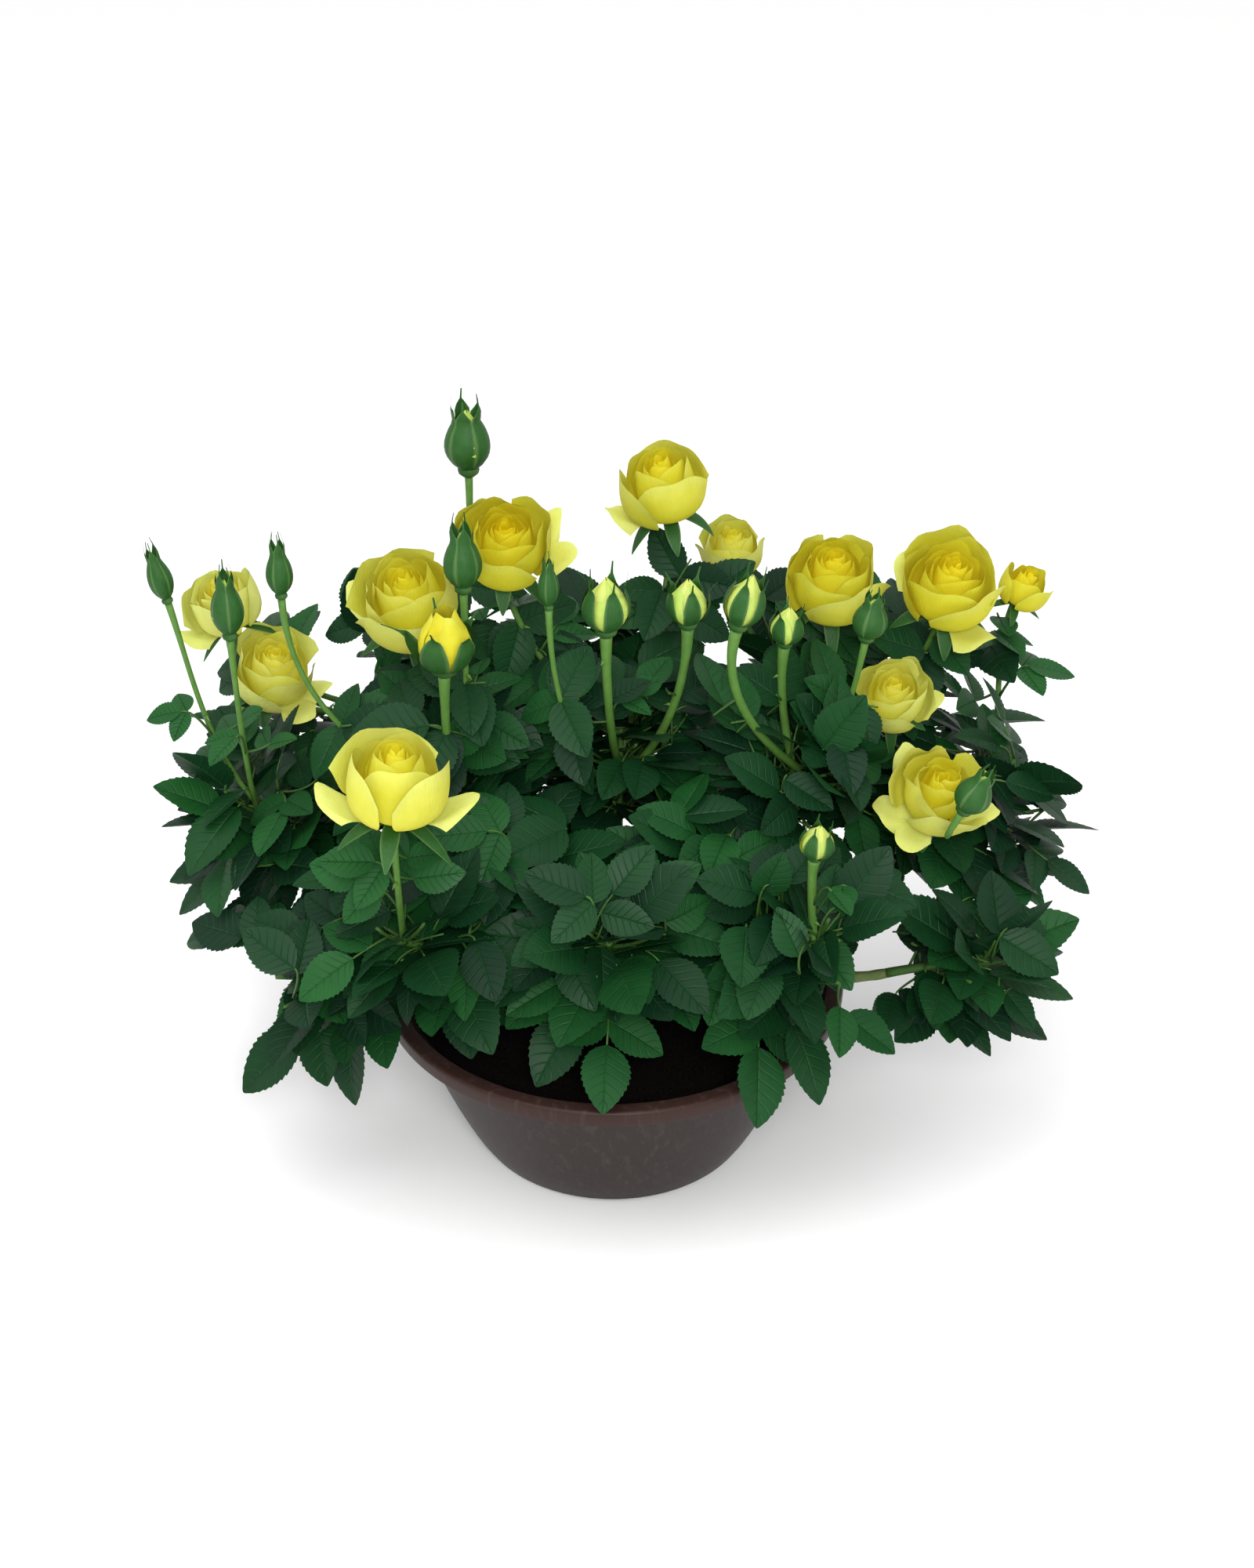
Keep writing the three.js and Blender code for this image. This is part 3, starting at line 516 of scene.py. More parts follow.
# %% Masses, flowers and buds
MASSES = {
    "front_left": ((-112, -86, 182), (60, 50, 58), [(-100, -130, 165), (-80, -120, 138)]),
    "front_middle": ((-2, -86, 180), (58, 48, 58), [(-5, -150, 122), (-45, -122, 120)]),
    "front_right": ((108, -84, 182), (60, 50, 58), [(80, -148, 108), (120, -130, 112)]),
    "inner_left": ((-58, -32, 192), (55, 52, 58), []),
    "inner_right": ((55, -30, 192), (55, 52, 58), []),
    "low_left": ((-182, -65, 145), (60, 45, 55), [(-219, -80, 82), (-155, -100, 86)]),
    "low_right": ((205, -55, 145), (65, 45, 60), [(266, -60, 81), (225, -65, 96), (174, -85, 128)]),
    "side_left": ((-205, 20, 200), (60, 60, 65), [(-264, 0, 242), (-241, -25, 152), (-264, 0, 183)]),
    "side_right": ((220, 30, 205), (65, 60, 60), [(291, 20, 200), (271, 5, 176), (250, -20, 127)]),
    "upper_left": ((-102, 22, 228), (62, 55, 60), []),
    "upper_middle": ((5, 42, 236), (62, 55, 60), []),
    "upper_right": ((118, 20, 230), (62, 55, 60), [(100, 20, 300)]),
    "back_left": ((-155, 108, 222), (70, 60, 70), [(-155, 95, 335), (-252, 60, 256)]),
    "back_middle": ((-10, 130, 222), (75, 55, 65), [(18, 80, 300)]),
    "back_right": ((150, 110, 225), (70, 60, 70), [(74, 110, 355), (225, 110, 290), (264, 80, 245)]),
    "rear_left": ((-75, 172, 165), (70, 45, 60), []),
    "rear_right": ((78, 172, 165), (70, 45, 60), []),
}
TOP_RING = ("inner_left", "inner_right", "upper_left", "upper_middle", "upper_right", "back_middle")

# Each open flower: the middle of its head, width, lean, paleness from 0 to 1, its form, and the
# bearings in degrees of the petals that have fallen open under it.
BLOOMS = [
    ((-112, -110, 310), 60, (0.08, -0.08), 0.38, "cupped", (175, 12)),
    ((-116, 40, 342), 62, (-0.1, -0.5), 0.38, "full", (150,)),
    ((-59, 30, 380), 56, (0.1, -0.7), 0.05, "full", (10, 45)),
    ((30, 90, 391), 54, (-0.15, -0.3), 0.22, "cupped", (185,)),
    ((129, 70, 340), 57, (0, -0.5), 0.15, "full", ()),
    ((196, 60, 340), 58, (0.05, -0.5), 0.05, "flared", (-55, 130)),
    ((246, 90, 324), 32, (0.3, -0.3), 0.0, "small", ()),
    ((-227, 70, 325), 44, (-0.2, -0.3), 0.85, "full", (200,)),
    ((-199, 60, 287), 50, (0.2, -0.5), 0.7, "flared", (0, -40)),
    ((73, 115, 338), 40, (0, -0.4), 0.6, "full", (100,)),
    ((163, 30, 283), 44, (0, -0.6), 0.75, "flared", (10,)),
    ((186, -22, 250), 52, (0.1, -0.7), 0.5, "spent", (200, -118, -10, 120)),
]

# Each bud: the middle of its body, width, height, lean, how far the sepals open, and its form.
BUDS = [
    ((-82, 90, 416), 25, 44, (0, 0), 0.25, "green"),
    ((-91, -22, 342), 31, 40, (0.05, -0.1), 0.9, "opening"),
    ((-81, 0, 382), 20, 40, (0, 0), 0.2, "green"),
    ((-3, -10, 360), 26, 40, (0, -0.05), 0.5, "pale"),
    ((43, 20, 347), 23, 34, (0, 0), 0.7, "pale"),
    ((73, -12, 363), 22, 38, (0.25, 0), 0.45, "pale"),
    ((100, 28, 328), 20, 28, (0.1, 0), 0.6, "pale"),
    ((146, 20, 336), 19, 30, (0.15, 0), 0.1, "green"),
    ((-181, 0, 376), 14, 34, (0, 0), 0.1, "green"),
    ((-209, -12, 360), 17, 40, (0, 0), 0.1, "green"),
    ((-250, 15, 366), 13, 34, (-0.2, 0), 0.1, "green"),
    ((-34, -15, 374), 11, 30, (0, 0), 0.0, "green"),
    ((196, -72, 276), 19, 30, (0.45, -0.1), 0.0, "green"),
    ((111, -85, 254), 19, 26, (0.1, -0.1), 0.4, "pale"),
]
BUD_TONES = {"green": 1.8, "pale": 1.48, "opening": 0.2}
print(len(MASSES), "masses,", len(BLOOMS), "flowers,", len(BUDS), "buds")

# %% Bends and masses
CLEARANCE = 0.3
UP = np.array([0.0, 0.0, 1.0])
KNUCKLE_HEIGHT, KNUCKLE_RADIUS = 15.0, 17.0
KNUCKLE = np.array([0.0, 0.0, SOIL_TOP + CLEARANCE + KNUCKLE_HEIGHT])
CANE = {"low_tilt": 0.52, "top_tilt": 1.19, "entry": 0.75, "lift": 0.25}
STEM = {"overrun": 0.25, "lift": 8.0}


class Bend:
    """A Bezier curve through space."""

    def __init__(self, *pulls):
        self.pulls = np.array(pulls)

    def at(self, share):
        row = self.pulls
        while len(row) > 1:
            row = row[:-1] + (row[1:] - row[:-1]) * share
        return row[0]

    def points(self, steps):
        return np.array([self.at(i / steps) for i in range(steps + 1)])


class Mass:
    """A mass of foliage: its space, its cane, its stem and its flowers."""

    def __init__(self, name):
        centre, reach, tips = MASSES[name]
        self.name = name
        self.centre = np.array(centre, float)
        self.reach = np.array(reach, float)
        self.tips = [np.array(tip, float) for tip in tips]
        self.size = sum(reach) / 3
        self.flowers = []

    def lay_out_cane(self, angle, tilt):
        """A cane that leaves the knuckle at an angle and a tilt, and the stem that carries it on."""
        level = math.cos(tilt)
        leaving = np.array([level * math.cos(angle), level * math.sin(angle), math.sin(tilt)])
        start = KNUCKLE + leaving * (KNUCKLE_RADIUS + CLEARANCE)
        inward = KNUCKLE - self.centre
        tip = self.centre + inward * (CANE["entry"] / np.linalg.norm(inward / self.reach))
        entering = unit(unit(self.centre - tip) + UP * CANE["lift"])
        third = np.linalg.norm(tip - start) / 3
        self.cane = Bend(start, start + leaving * third, tip - entering * third, tip)
        stem_start = tip + entering * CLEARANCE
        stem_end = self.centre + (self.centre - tip) * STEM["overrun"] + UP * STEM["lift"]
        bend = stem_start + entering * (np.linalg.norm(stem_end - stem_start) / 2)
        self.stem = Bend(stem_start, bend, stem_end)


print("the longest reach of a mass:", max(max(reach) for _, reach, _ in MASSES.values()), "mm")

# %% Flowers and their stalks
STALK = {"first_foot": 0.9, "foot_spacing": 0.15, "outwards": 0.75, "rising": 0.3}
BLOOM_DROP = 0.85
FALLEN_AT = {"out": 1.05, "up": 0.15}


class Flower:
    """The head of a bloom or a bud, and the stalk that it stands on."""

    def __init__(self, kind, centre, width, height, lean, **looks):
        self.kind = kind
        self.axis = unit(np.array([lean[0], lean[1], 1.0]))
        self.centre = np.array(centre, float)
        self.width = width
        self.height = height
        self.radius = width / 2 if kind == "bloom" else height / 2
        drop = BLOOM_DROP * self.radius if kind == "bloom" else height / 2
        self.base = self.centre - self.axis * drop
        self.looks = looks

    def fallen_petals(self):
        """The middles of the petals that have fallen open."""
        across = unit(np.cross((0.0, 1.0, 0.01), self.axis))
        third = np.cross(self.axis, across)
        for angle in np.radians(self.looks["fallen"]):
            out = across * math.cos(angle) + third * math.sin(angle)
            rise = self.axis * FALLEN_AT["up"] * self.radius
            yield self.base + out * FALLEN_AT["out"] * self.radius + rise

    def take_root(self, masses):
        """The stalk rises from the stem of the mass that the head is nearest to."""
        owner = min(masses, key=lambda mass: cell_distance(self.centre, mass))
        foot = owner.stem.at(STALK["first_foot"] - STALK["foot_spacing"] * len(owner.flowers))
        rise = np.linalg.norm(self.base - foot)
        under = np.array([self.base[0], self.base[1], foot[2]])
        foot_pull = foot + (under - foot) * STALK["outwards"] + UP * STALK["rising"] * rise
        head_pull = self.base - self.axis * STALK["rising"] * rise
        self.stalk = Bend(foot, foot_pull, head_pull, self.base + self.axis * 0.5)
        owner.flowers.append(self)


def cell_distance(point, mass):
    return ((point - mass.centre) ** 2).sum() - mass.size**2


print("stalks rise by", STALK["rising"], "of their length before they turn")

# %% Laying out the canes
def azimuth(mass):
    return math.atan2(mass.centre[1], mass.centre[0])


def lay_out_canes(masses):
    """Canes spaced evenly round the knuckle, those of the top ring steeper than the others."""
    for on_top, tilt in ((False, CANE["low_tilt"]), (True, CANE["top_tilt"])):
        ring = sorted((mass for mass in masses if (mass.name in TOP_RING) == on_top), key=azimuth)
        step = 2 * math.pi / len(ring)
        first = sum(azimuth(mass) - slot * step for slot, mass in enumerate(ring)) / len(ring)
        for slot, mass in enumerate(ring):
            mass.lay_out_cane(first + slot * step, tilt)


masses = [Mass(name) for name in MASSES]
lay_out_canes(masses)
flowers = [
    Flower("bloom", centre, width, width, lean, pale=pale, form=form, fallen=fallen)
    for centre, width, lean, pale, form, fallen in BLOOMS
]
flowers += [
    Flower("bud", centre, *size, lean, spread=spread, form=form, tone=BUD_TONES[form], fallen=())
    for centre, *size, lean, spread, form in BUDS
]
for flower in flowers:
    flower.take_root(masses)
print("stalks per mass:", {mass.name: len(mass.flowers) for mass in masses})

# %% [markdown]
# ## Crown and canes
# A rose's foot is a knobbly knuckle of old wood with a root flare, and its canes are green-brown with
# ridges, leaf scars and hooked prickles. The relief could be bump alone, but the outline shows it, so
# the rings of each mesh swell and shrink, and the material only adds the finest grain.

# %% Crown, canes and prickles
wood_random = np.random.default_rng(21)
WOOD = {
    "steps": 44, "root": 3.9, "tip": 3.0, "sides": 12, "scars": 5, "scar": 1.14, "ridge": 0.07,
    "crown_sides": 60, "flare": (1.45, 1.25, 1.1), "buried": 3.0,
}
PRICKLE = {"radii": (1.5, 0.8, 0.12), "sides": 6, "length": (3.2, 5.0), "hook": 0.35}


def knobbly(turn, height):
    lobes = 0.10 * math.sin(5 * turn + 0.07 * height) + 0.05 * math.sin(9 * turn - 0.2 * height + 1)
    return 0.93 + lobes * min(1, 1.4 - height / 60)


def crown_part():
    """From the flat cut, in over the root flare, and up round the knuckle."""
    outline = [(0, 0), (24, 0), (22, 1.5), (19.5, 3), (17, 5.5), (15.4, 8), (16, 11)]
    quarter = np.linspace(0, math.pi / 2, 10)[:-1]
    knuckle = [
        (KNUCKLE_RADIUS * math.cos(a), KNUCKLE_HEIGHT + KNUCKLE_RADIUS * math.sin(a)) for a in quarter
    ]
    top = (0, KNUCKLE_HEIGHT + KNUCKLE_RADIUS)
    part = turned([*outline, *knuckle, top], WOOD["crown_sides"], knobbly)
    part.corners[:, 2] += SOIL_TOP + CLEARANCE
    return part


def cane_part(mass):
    """A cane with a swollen foot, a few leaf scars and three ridges that wind round it."""
    steps = WOOD["steps"]
    path = mass.cane.points(steps)
    path[0] -= unit(path[1] - path[0]) * WOOD["buried"]
    scars = set(wood_random.integers(4, steps - 2, WOOD["scars"]))
    radii = np.linspace(WOOD["root"], WOOD["tip"], steps + 1)
    for i in range(steps + 1):
        radii[i] *= WOOD["scar"] if i in scars else 1 + 0.05 * math.sin(i * 1.9 + len(mass.name))
    radii[:3] *= WOOD["flare"]
    start = wood_random.uniform(0, 6)

    def ridged(i, turn):
        return 1 + WOOD["ridge"] * math.sin(3 * turn + 0.15 * i + start)

    return tube(path, radii, WOOD["sides"], wood_random.uniform(), ridged)


def prickles(path, radius, count):
    """Hooked prickles on a limb, each a bent three-step cone."""
    parts = []
    for _ in range(count):
        i = int(wood_random.integers(3, len(path) - 3))
        along = unit(path[i + 1] - path[i])
        out = unit(np.cross(along, wood_random.normal(size=3)))
        root = path[i] + out * radius * 0.8
        length = wood_random.uniform(*PRICKLE["length"])
        middle = root + out * length * 0.5 - along * 0.3
        tip = root + out * length - along * length * PRICKLE["hook"]
        parts.append(tube([root, middle, tip], PRICKLE["radii"], PRICKLE["sides"], 1.0))
    return parts


print("rings along a cane:", WOOD["steps"] + 1)

# %% Bark
bark = Finish("rose_bark")
along_limb, _, limb_tone = bark.spot()
ridges = bark.noise(900, 4, (1, 1, 0.25))
mottle = bark.noise(90, 5)
young = bark.mix(mottle, (0.050, 0.085, 0.018), (0.12, 0.16, 0.04))
old = bark.mix(mottle, (0.055, 0.035, 0.018), (0.15, 0.10, 0.055))
age = (1.15 - along_limb * 1.6 + (limb_tone - 0.5) * 0.4).clamped()
bark.surface(
    Base_Color=bark.mix(age, young, old),
    Roughness=0.55 + ridges * 0.3,
    Normal=bark.bump(ridges * 0.7 + mottle * 0.3, 0.0006),
)
cane_parts = [cane_part(mass) for mass in masses]
for mass in masses:
    cane_parts += prickles(mass.cane.points(WOOD["steps"]), 3.2, 4)
cane_nodes = [f"cane_{mass.name}" for mass in masses]
joined_piece("crown_wood", [crown_part()], bark, ["crown"])
joined_piece("canes_wood", cane_parts, bark, cane_nodes)

# %% [markdown]
# ## The growth rule
# A rose leaf is compound: a thin stalk with an end leaflet and one to three pairs of side leaflets.
# Scattering leaflets at random would make a hedge. Here each leaf is grown from the mass's stem
# towards an aim on the edge of its space, as the solids were. Side shoots then carry further leaves,
# and the flower stalks carry some too. A leaf that would cut a limb or another leaf is skipped, and
# so is one that would close a gap through which the sky shows.

# %% Seeded numbers, crossings and distances
SEEDING = {
    "range": 2**32, "multiplier": 1664525, "increment": 1013904223, "step": 7919, "start": 12345,
}


def seeded_numbers(seed):
    """A function that gives numbers between 0 and 1, the same ones each time for one seed."""
    state = [(seed * SEEDING["step"] + SEEDING["start"]) % SEEDING["range"]]

    def draw():
        state[0] = (SEEDING["multiplier"] * state[0] + SEEDING["increment"]) % SEEDING["range"]
        return state[0] / SEEDING["range"]

    return draw


def crossings(starts, ends, triangles):
    """For each line and triangle, whether the line passes through the triangle."""
    direction = (ends - starts)[:, None]
    a, b, c = triangles[:, 0], triangles[:, 1], triangles[:, 2]
    first, second = b - a, c - a
    normal = np.cross(direction, second)
    facing = (first * normal).sum(-1)
    facing = np.where(np.abs(facing) < 1e-9, 1e-9, facing)
    offset = starts[:, None] - a
    u = (offset * normal).sum(-1) / facing
    turned_offset = np.cross(offset, first)
    v = (direction * turned_offset).sum(-1) / facing
    t = (second * turned_offset).sum(-1) / facing
    return (u >= 0) & (v >= 0) & (u + v <= 1) & (t > 0) & (t < 1)


def distances(points, starts, ends):
    """The distance from each point to each line."""
    along = ends - starts
    reach = points[:, None] - starts
    share = np.clip((reach * along).sum(-1) / (along**2).sum(-1), 0, 1)
    return np.linalg.norm(reach - share[..., None] * along, axis=-1)


draws = seeded_numbers(1)
print("first draws of seed 1:", [round(draws(), 3) for _ in range(3)])

# %% The space of a leaflet
LEAFLET = {"length": 46.0, "width": 0.66, "widest": 0.42, "fold": 0.08, "clear_of_stalk": 0.07}
SAMPLES = [(0.15, 0), (0.42, 0), (0.7, 0), (0.85, 0), (1, 0)]
SAMPLES += [
    (along, hand * across)
    for hand in (-1, 1)
    for along, across in ((0.22, 0.45), (0.42, 0.5), (0.42, 1), (0.6, 0.6), (0.75, 0.35))
]


class Leaflet:
    """One leaflet: its root, the way it runs, the way it faces, and the space that it takes."""

    def __init__(self, root, along, face, length):
        self.root, self.along, self.face, self.length = root, along, face, length
        self.side = np.cross(along, face)
        self.samples = np.array([self.spot(*sample) for sample in SAMPLES])
        root_end, tip = self.spot(LEAFLET["clear_of_stalk"], 0), self.spot(1, 0)
        left, right = self.spot(LEAFLET["widest"], -1), self.spot(LEAFLET["widest"], 1)
        self.starts = np.array([root_end, left, root_end, right, root_end])
        self.ends = np.array([left, tip, right, tip, tip])
        self.halves = np.array([(root_end, tip, left), (root_end, tip, right)])

    def spot(self, along, across):
        half_width = across * LEAFLET["width"] * self.length / 2
        lift = abs(across) * LEAFLET["fold"] * self.length
        outwards = self.along * along * self.length
        return self.root + outwards + self.side * half_width + self.face * lift


print("leaflet samples:", len(SAMPLES))

# %% The space of the plant
KEEP = {"limb": 0.6, "head": 2.0, "bowl": 3.0, "floor": 6.0, "cell": 0.3, "fallen": 0.5}
RADII = {"cane": 3.2, "stem": 3.0, "stalk": 2.0, "shoot": 1.2, "leaf_stalk": 0.8}
LIMB_STEPS = 8
ROOM = 30000

# How far off a limb or a leaflet may be and still be in the way of a new one.
NEARBY = {"limb": 60, "leaflet": 60, "limb_of_leaflet": 45, "leaflet_of_limb": 90}

# The finer leaves keep clear of the way from each flower to the front, where the plant is seen from:
# the share of a head and the width of a pale bud's stalk that stay in view, and from how far out.
TO_VIEWER = unit(np.array([0.0, -0.86, 0.51]))
VIEW = {"head": 0.8, "stalk": 6.0, "from": 8.0, "to": 150.0, "stalk_steps": 8, "hidden_steps": 2}

# Gaps in the crown through which the sky shows, and how far they reach to each side.
SKY_GAPS = [((-218, -65, 142), 27), ((152, -80, 167), 20), ((-171, 50, 291), 20)]


class Rows:
    """A table that grows by rows and gives back those whose middles are near a place."""

    def __init__(self, **shapes):
        self.count = 0
        self.middles = np.zeros((ROOM, 3))
        self.columns = {name: np.zeros((ROOM, *shape)) for name, shape in shapes.items()}

    def add(self, middle, **values):
        self.middles[self.count] = middle
        for name, value in values.items():
            self.columns[name][self.count] = value
        self.count += 1

    def near(self, place, reach):
        close = ((self.middles[: self.count] - place) ** 2).sum(1) < reach**2
        return {name: column[: self.count][close] for name, column in self.columns.items()}


def split(pairs):
    """An array of places and an array of widths, from pairs of one of each."""
    return np.array([place for place, _ in pairs], float), np.array([width for _, width in pairs])


class Space:
    """What the plant may grow into: its masses' cells, less the limbs, heads and leaflets in them."""

    def __init__(self):
        self.limbs = Rows(start=(3,), end=(3,), margin=())
        self.leaflets = Rows(starts=(5, 3), ends=(5, 3), halves=(2, 3, 3))
        heads = [(flower.centre, flower.radius) for flower in flowers]
        shown = [(flower.centre, VIEW["head"] * flower.radius) for flower in flowers]
        for flower in flowers:
            heads += [(place, KEEP["fallen"] * flower.radius) for place in flower.fallen_petals()]
            if flower.looks["form"] == "pale":
                stalk = flower.stalk.points(VIEW["stalk_steps"])[VIEW["hidden_steps"] :]
                shown += [(point, VIEW["stalk"]) for point in stalk]
        self.heads, self.head_radii = split(heads)
        self.shown, self.shown_widths = split(shown)
        self.gaps, self.gap_widths = split(SKY_GAPS)
        self.centres = np.array([mass.centre for mass in masses])
        self.reaches = np.array([mass.reach for mass in masses])
        self.sizes = np.array([mass.size for mass in masses])
        for mass in masses:
            self.add_limb(mass.cane.points(LIMB_STEPS), "cane")
            self.add_limb(mass.stem.points(LIMB_STEPS), "stem")
            for flower in mass.flowers:
                self.add_limb(flower.stalk.points(LIMB_STEPS), "stalk")

    def add_limb(self, points, kind):
        margin = RADII[kind] + KEEP["limb"]
        for start, end in zip(points, points[1:]):
            self.limbs.add((start + end) / 2, start=start, end=end, margin=margin)

    def clear_of_bowl(self, points):
        radius = np.hypot(points[:, 0], points[:, 1])
        above = points[:, 2] > BOWL["height"] + KEEP["bowl"]
        beside = radius > BOWL["rim"] + KEEP["bowl"]
        within = (points[:, 2] > SOIL_TOP + KEEP["bowl"]) & (radius < BOWL["mouth"] - KEEP["bowl"])
        return ((above | beside | within) & (points[:, 2] > KEEP["floor"])).all()

    def in_cell(self, points, mass):
        """Whether points lie in a mass's own cell, nearer to it than to any other mass."""
        powers = ((points[:, None] - self.centres) ** 2).sum(-1) - self.sizes**2
        mine = ((points - mass.centre) ** 2).sum(-1) - mass.size**2
        apart = np.linalg.norm(self.centres - mass.centre, axis=1)
        others = apart > 0
        gaps = (powers[:, others] - mine[:, None]) / (2 * apart[others])
        return (gaps > KEEP["cell"]).all() and self.clear_of_bowl(points)

    def in_crown(self, place):
        """Whether a place is in a mass, or in the gap between two that are close together."""
        nearest, second = np.sort(np.linalg.norm((place - self.centres) / self.reaches, axis=1))[:2]
        return nearest < 1 or (nearest < FILL["gap"][0] and second < FILL["gap"][1])

    def is_free(self, points):
        """Whether points are clear of the bowl, of every flower head and of every limb."""
        if not self.clear_of_bowl(points):
            return False
        gaps = np.linalg.norm(points[:, None] - self.heads, axis=-1) - self.head_radii
        if (gaps < KEEP["head"]).any():
            return False
        limbs = self.limbs.near(points.mean(0), NEARBY["limb"])
        return (distances(points, limbs["start"], limbs["end"]) > limbs["margin"]).all()

    def leaves_in_view(self, points):
        """Whether points hide no flower and no pale bud's stalk from the front."""
        near, far = self.shown + TO_VIEWER * VIEW["from"], self.shown + TO_VIEWER * VIEW["to"]
        return (distances(points, near, far) > self.shown_widths).all()

    def leaves_gaps_open(self, points):
        """Whether points stay out of the crown's gaps, all the way through it."""
        through = TO_VIEWER * VIEW["to"]
        return (distances(points, self.gaps - through, self.gaps + through) > self.gap_widths).all()

    def takes_limb(self, points):
        """Whether a new limb is free and cuts no leaflet."""
        if not self.is_free(points[len(points) // 2 :]) or not self.leaves_gaps_open(points):
            return False
        near = self.leaflets.near(points[len(points) // 2], NEARBY["leaflet_of_limb"])
        return not crossings(points[:-1], points[1:], near["halves"].reshape(-1, 3, 3)).any()

    def takes_leaflet(self, leaflet):
        """Whether a new leaflet is free, and cuts no limb or leaflet."""
        if not self.is_free(leaflet.samples):
            return False
        middle = leaflet.spot(0.5, 0)
        limbs = self.limbs.near(middle, NEARBY["limb_of_leaflet"])
        if crossings(limbs["start"], limbs["end"], leaflet.halves).any():
            return False
        near = self.leaflets.near(middle, NEARBY["leaflet"])
        if crossings(leaflet.starts, leaflet.ends, near["halves"].reshape(-1, 3, 3)).any():
            return False
        starts, ends = near["starts"].reshape(-1, 3), near["ends"].reshape(-1, 3)
        return not crossings(starts, ends, leaflet.halves).any()

    def add_leaflet(self, leaflet):
        columns = {"starts": leaflet.starts, "ends": leaflet.ends, "halves": leaflet.halves}
        self.leaflets.add(leaflet.spot(0.5, 0), **columns)


print("gaps kept open:", len(SKY_GAPS))

# %% Where leaves reach
TWIG = {
    "per_mass": 26, "lowest": -0.6, "highest": 0.85, "turn_variation": 0.5,
    "shortest": 22.0, "first_pair": 13.0, "pair_spacing": 25.0, "most_pairs": 3,
}
GOLDEN_ANGLE = math.pi * (3 - math.sqrt(5))


def between(ends, share):
    """The number at a share of the way from one end to the other."""
    return ends[0] + (ends[1] - ends[0]) * share


def drawn_back(aim_at, space, mass):
    """An aim outside the mass's own cell is drawn back towards the mass's centre."""
    for share in (1, 0.9, 0.8, 0.7, 0.6, 0.5):
        place = mass.centre + (aim_at - mass.centre) * share
        if space.in_cell(place[None], mass):
            return place
    return place


def on_reach(mass, height, angle, share=1.0):
    """A place at a share of the way from a mass's centre to the edge of its reach."""
    level = math.sqrt(1 - height**2)
    out = np.array([level * math.cos(angle), level * math.sin(angle), height])
    return mass.centre + out * mass.reach * share


def twig_aims(draw, space, mass):
    """Leaves reach for the mass's named tips first, and then spread from low to high."""
    aims = list(mass.tips)
    turn = draw() * 2 * math.pi
    spread = TWIG["per_mass"] - len(aims)
    for i in range(spread):
        height = TWIG["lowest"] + (TWIG["highest"] - TWIG["lowest"]) * i / (spread - 1)
        angle = turn + i * GOLDEN_ANGLE + TWIG["turn_variation"] * (draw() - 0.5)
        aims.append(drawn_back(on_reach(mass, height, angle), space, mass))
    return aims


print("aims per mass:", TWIG["per_mass"])

# %% One leaf
BACK = np.array([0.0, 1.0, 0.0])

# How far a leaf lies across the light, how soon its outward lean sets in, how far it turns to the
# front, and whether its leaflets give way to the flowers.
POSTURE = {
    "splay": 1.13, "sunward": 0.6, "spread": 0.7, "tilt": 0.4, "shrink": 0.12,
    "first": {"lying": 0.0, "dome": 0.001, "front": 0.0, "gives_way": False},
    "finer": {"lying": 0.8, "dome": 130.0, "front": 0.3, "gives_way": True},
    "crest": {"lying": 0.5, "dome": 130.0, "front": 0.9, "gives_way": True},
    "lone": {"lying": 0.2, "dome": 130.0, "front": 0.9, "gives_way": False},
}


class Leaf:
    """A compound leaf: leaflets on a stalk that bends as far as its posture says."""

    def __init__(self, draw, start, aim_at, scale, posture):
        level = np.array([start[0], start[1], 0])
        outward = level / max(np.linalg.norm(level), posture["dome"])
        sun = UP + outward * POSTURE["sunward"] - BACK * posture["front"]
        sun[0] += POSTURE["spread"] * (draw() - 0.5)
        sun[1] += POSTURE["spread"] * (draw() - 0.5)
        sun = unit(sun)
        forward = unit(aim_at - start)
        lying = posture["lying"]
        run = unit(forward + outward * lying * 0.4 - sun * (forward @ sun) * lying)
        side = unit(np.cross(run, sun))
        face = np.cross(side, run)
        size = scale * LEAFLET["length"] * (0.88 + 0.24 * draw())
        end = aim_at - run * size
        length = max(np.linalg.norm(end - start), TWIG["shortest"] * (1 - lying))
        end = start + unit(end - start) * length
        pull = 0.6 * length * max(0.0, unit(end - start) @ run)
        self.stalk = Bend(start, end - run * pull + face * length * 0.06, end)
        self.young = False
        self.leaflets = [Leaflet(end, run, face, size)]
        fitting = math.floor((length - TWIG["first_pair"]) / TWIG["pair_spacing"] + 0.5)
        pairs = min(TWIG["most_pairs"], max(1, fitting))
        for pair in range(TWIG["most_pairs"]):
            back = scale * (TWIG["first_pair"] + pair * TWIG["pair_spacing"])
            node = self.stalk.at(max(0.0, 1 - back / length))
            for hand in (-1, 1):
                splay = hand * (POSTURE["splay"] + 0.2 * (draw() - 0.5))
                tilt = POSTURE["tilt"] * (draw() - 0.5)
                along = run * math.cos(splay) + side * math.sin(splay)
                tilted = face + run * tilt
                tilted = unit(tilted - along * (tilted @ along))
                shrunk = size * (1 - POSTURE["shrink"] * (1 + pair))
                if pair < pairs:
                    self.leaflets.append(Leaflet(node, along, tilted, shrunk))


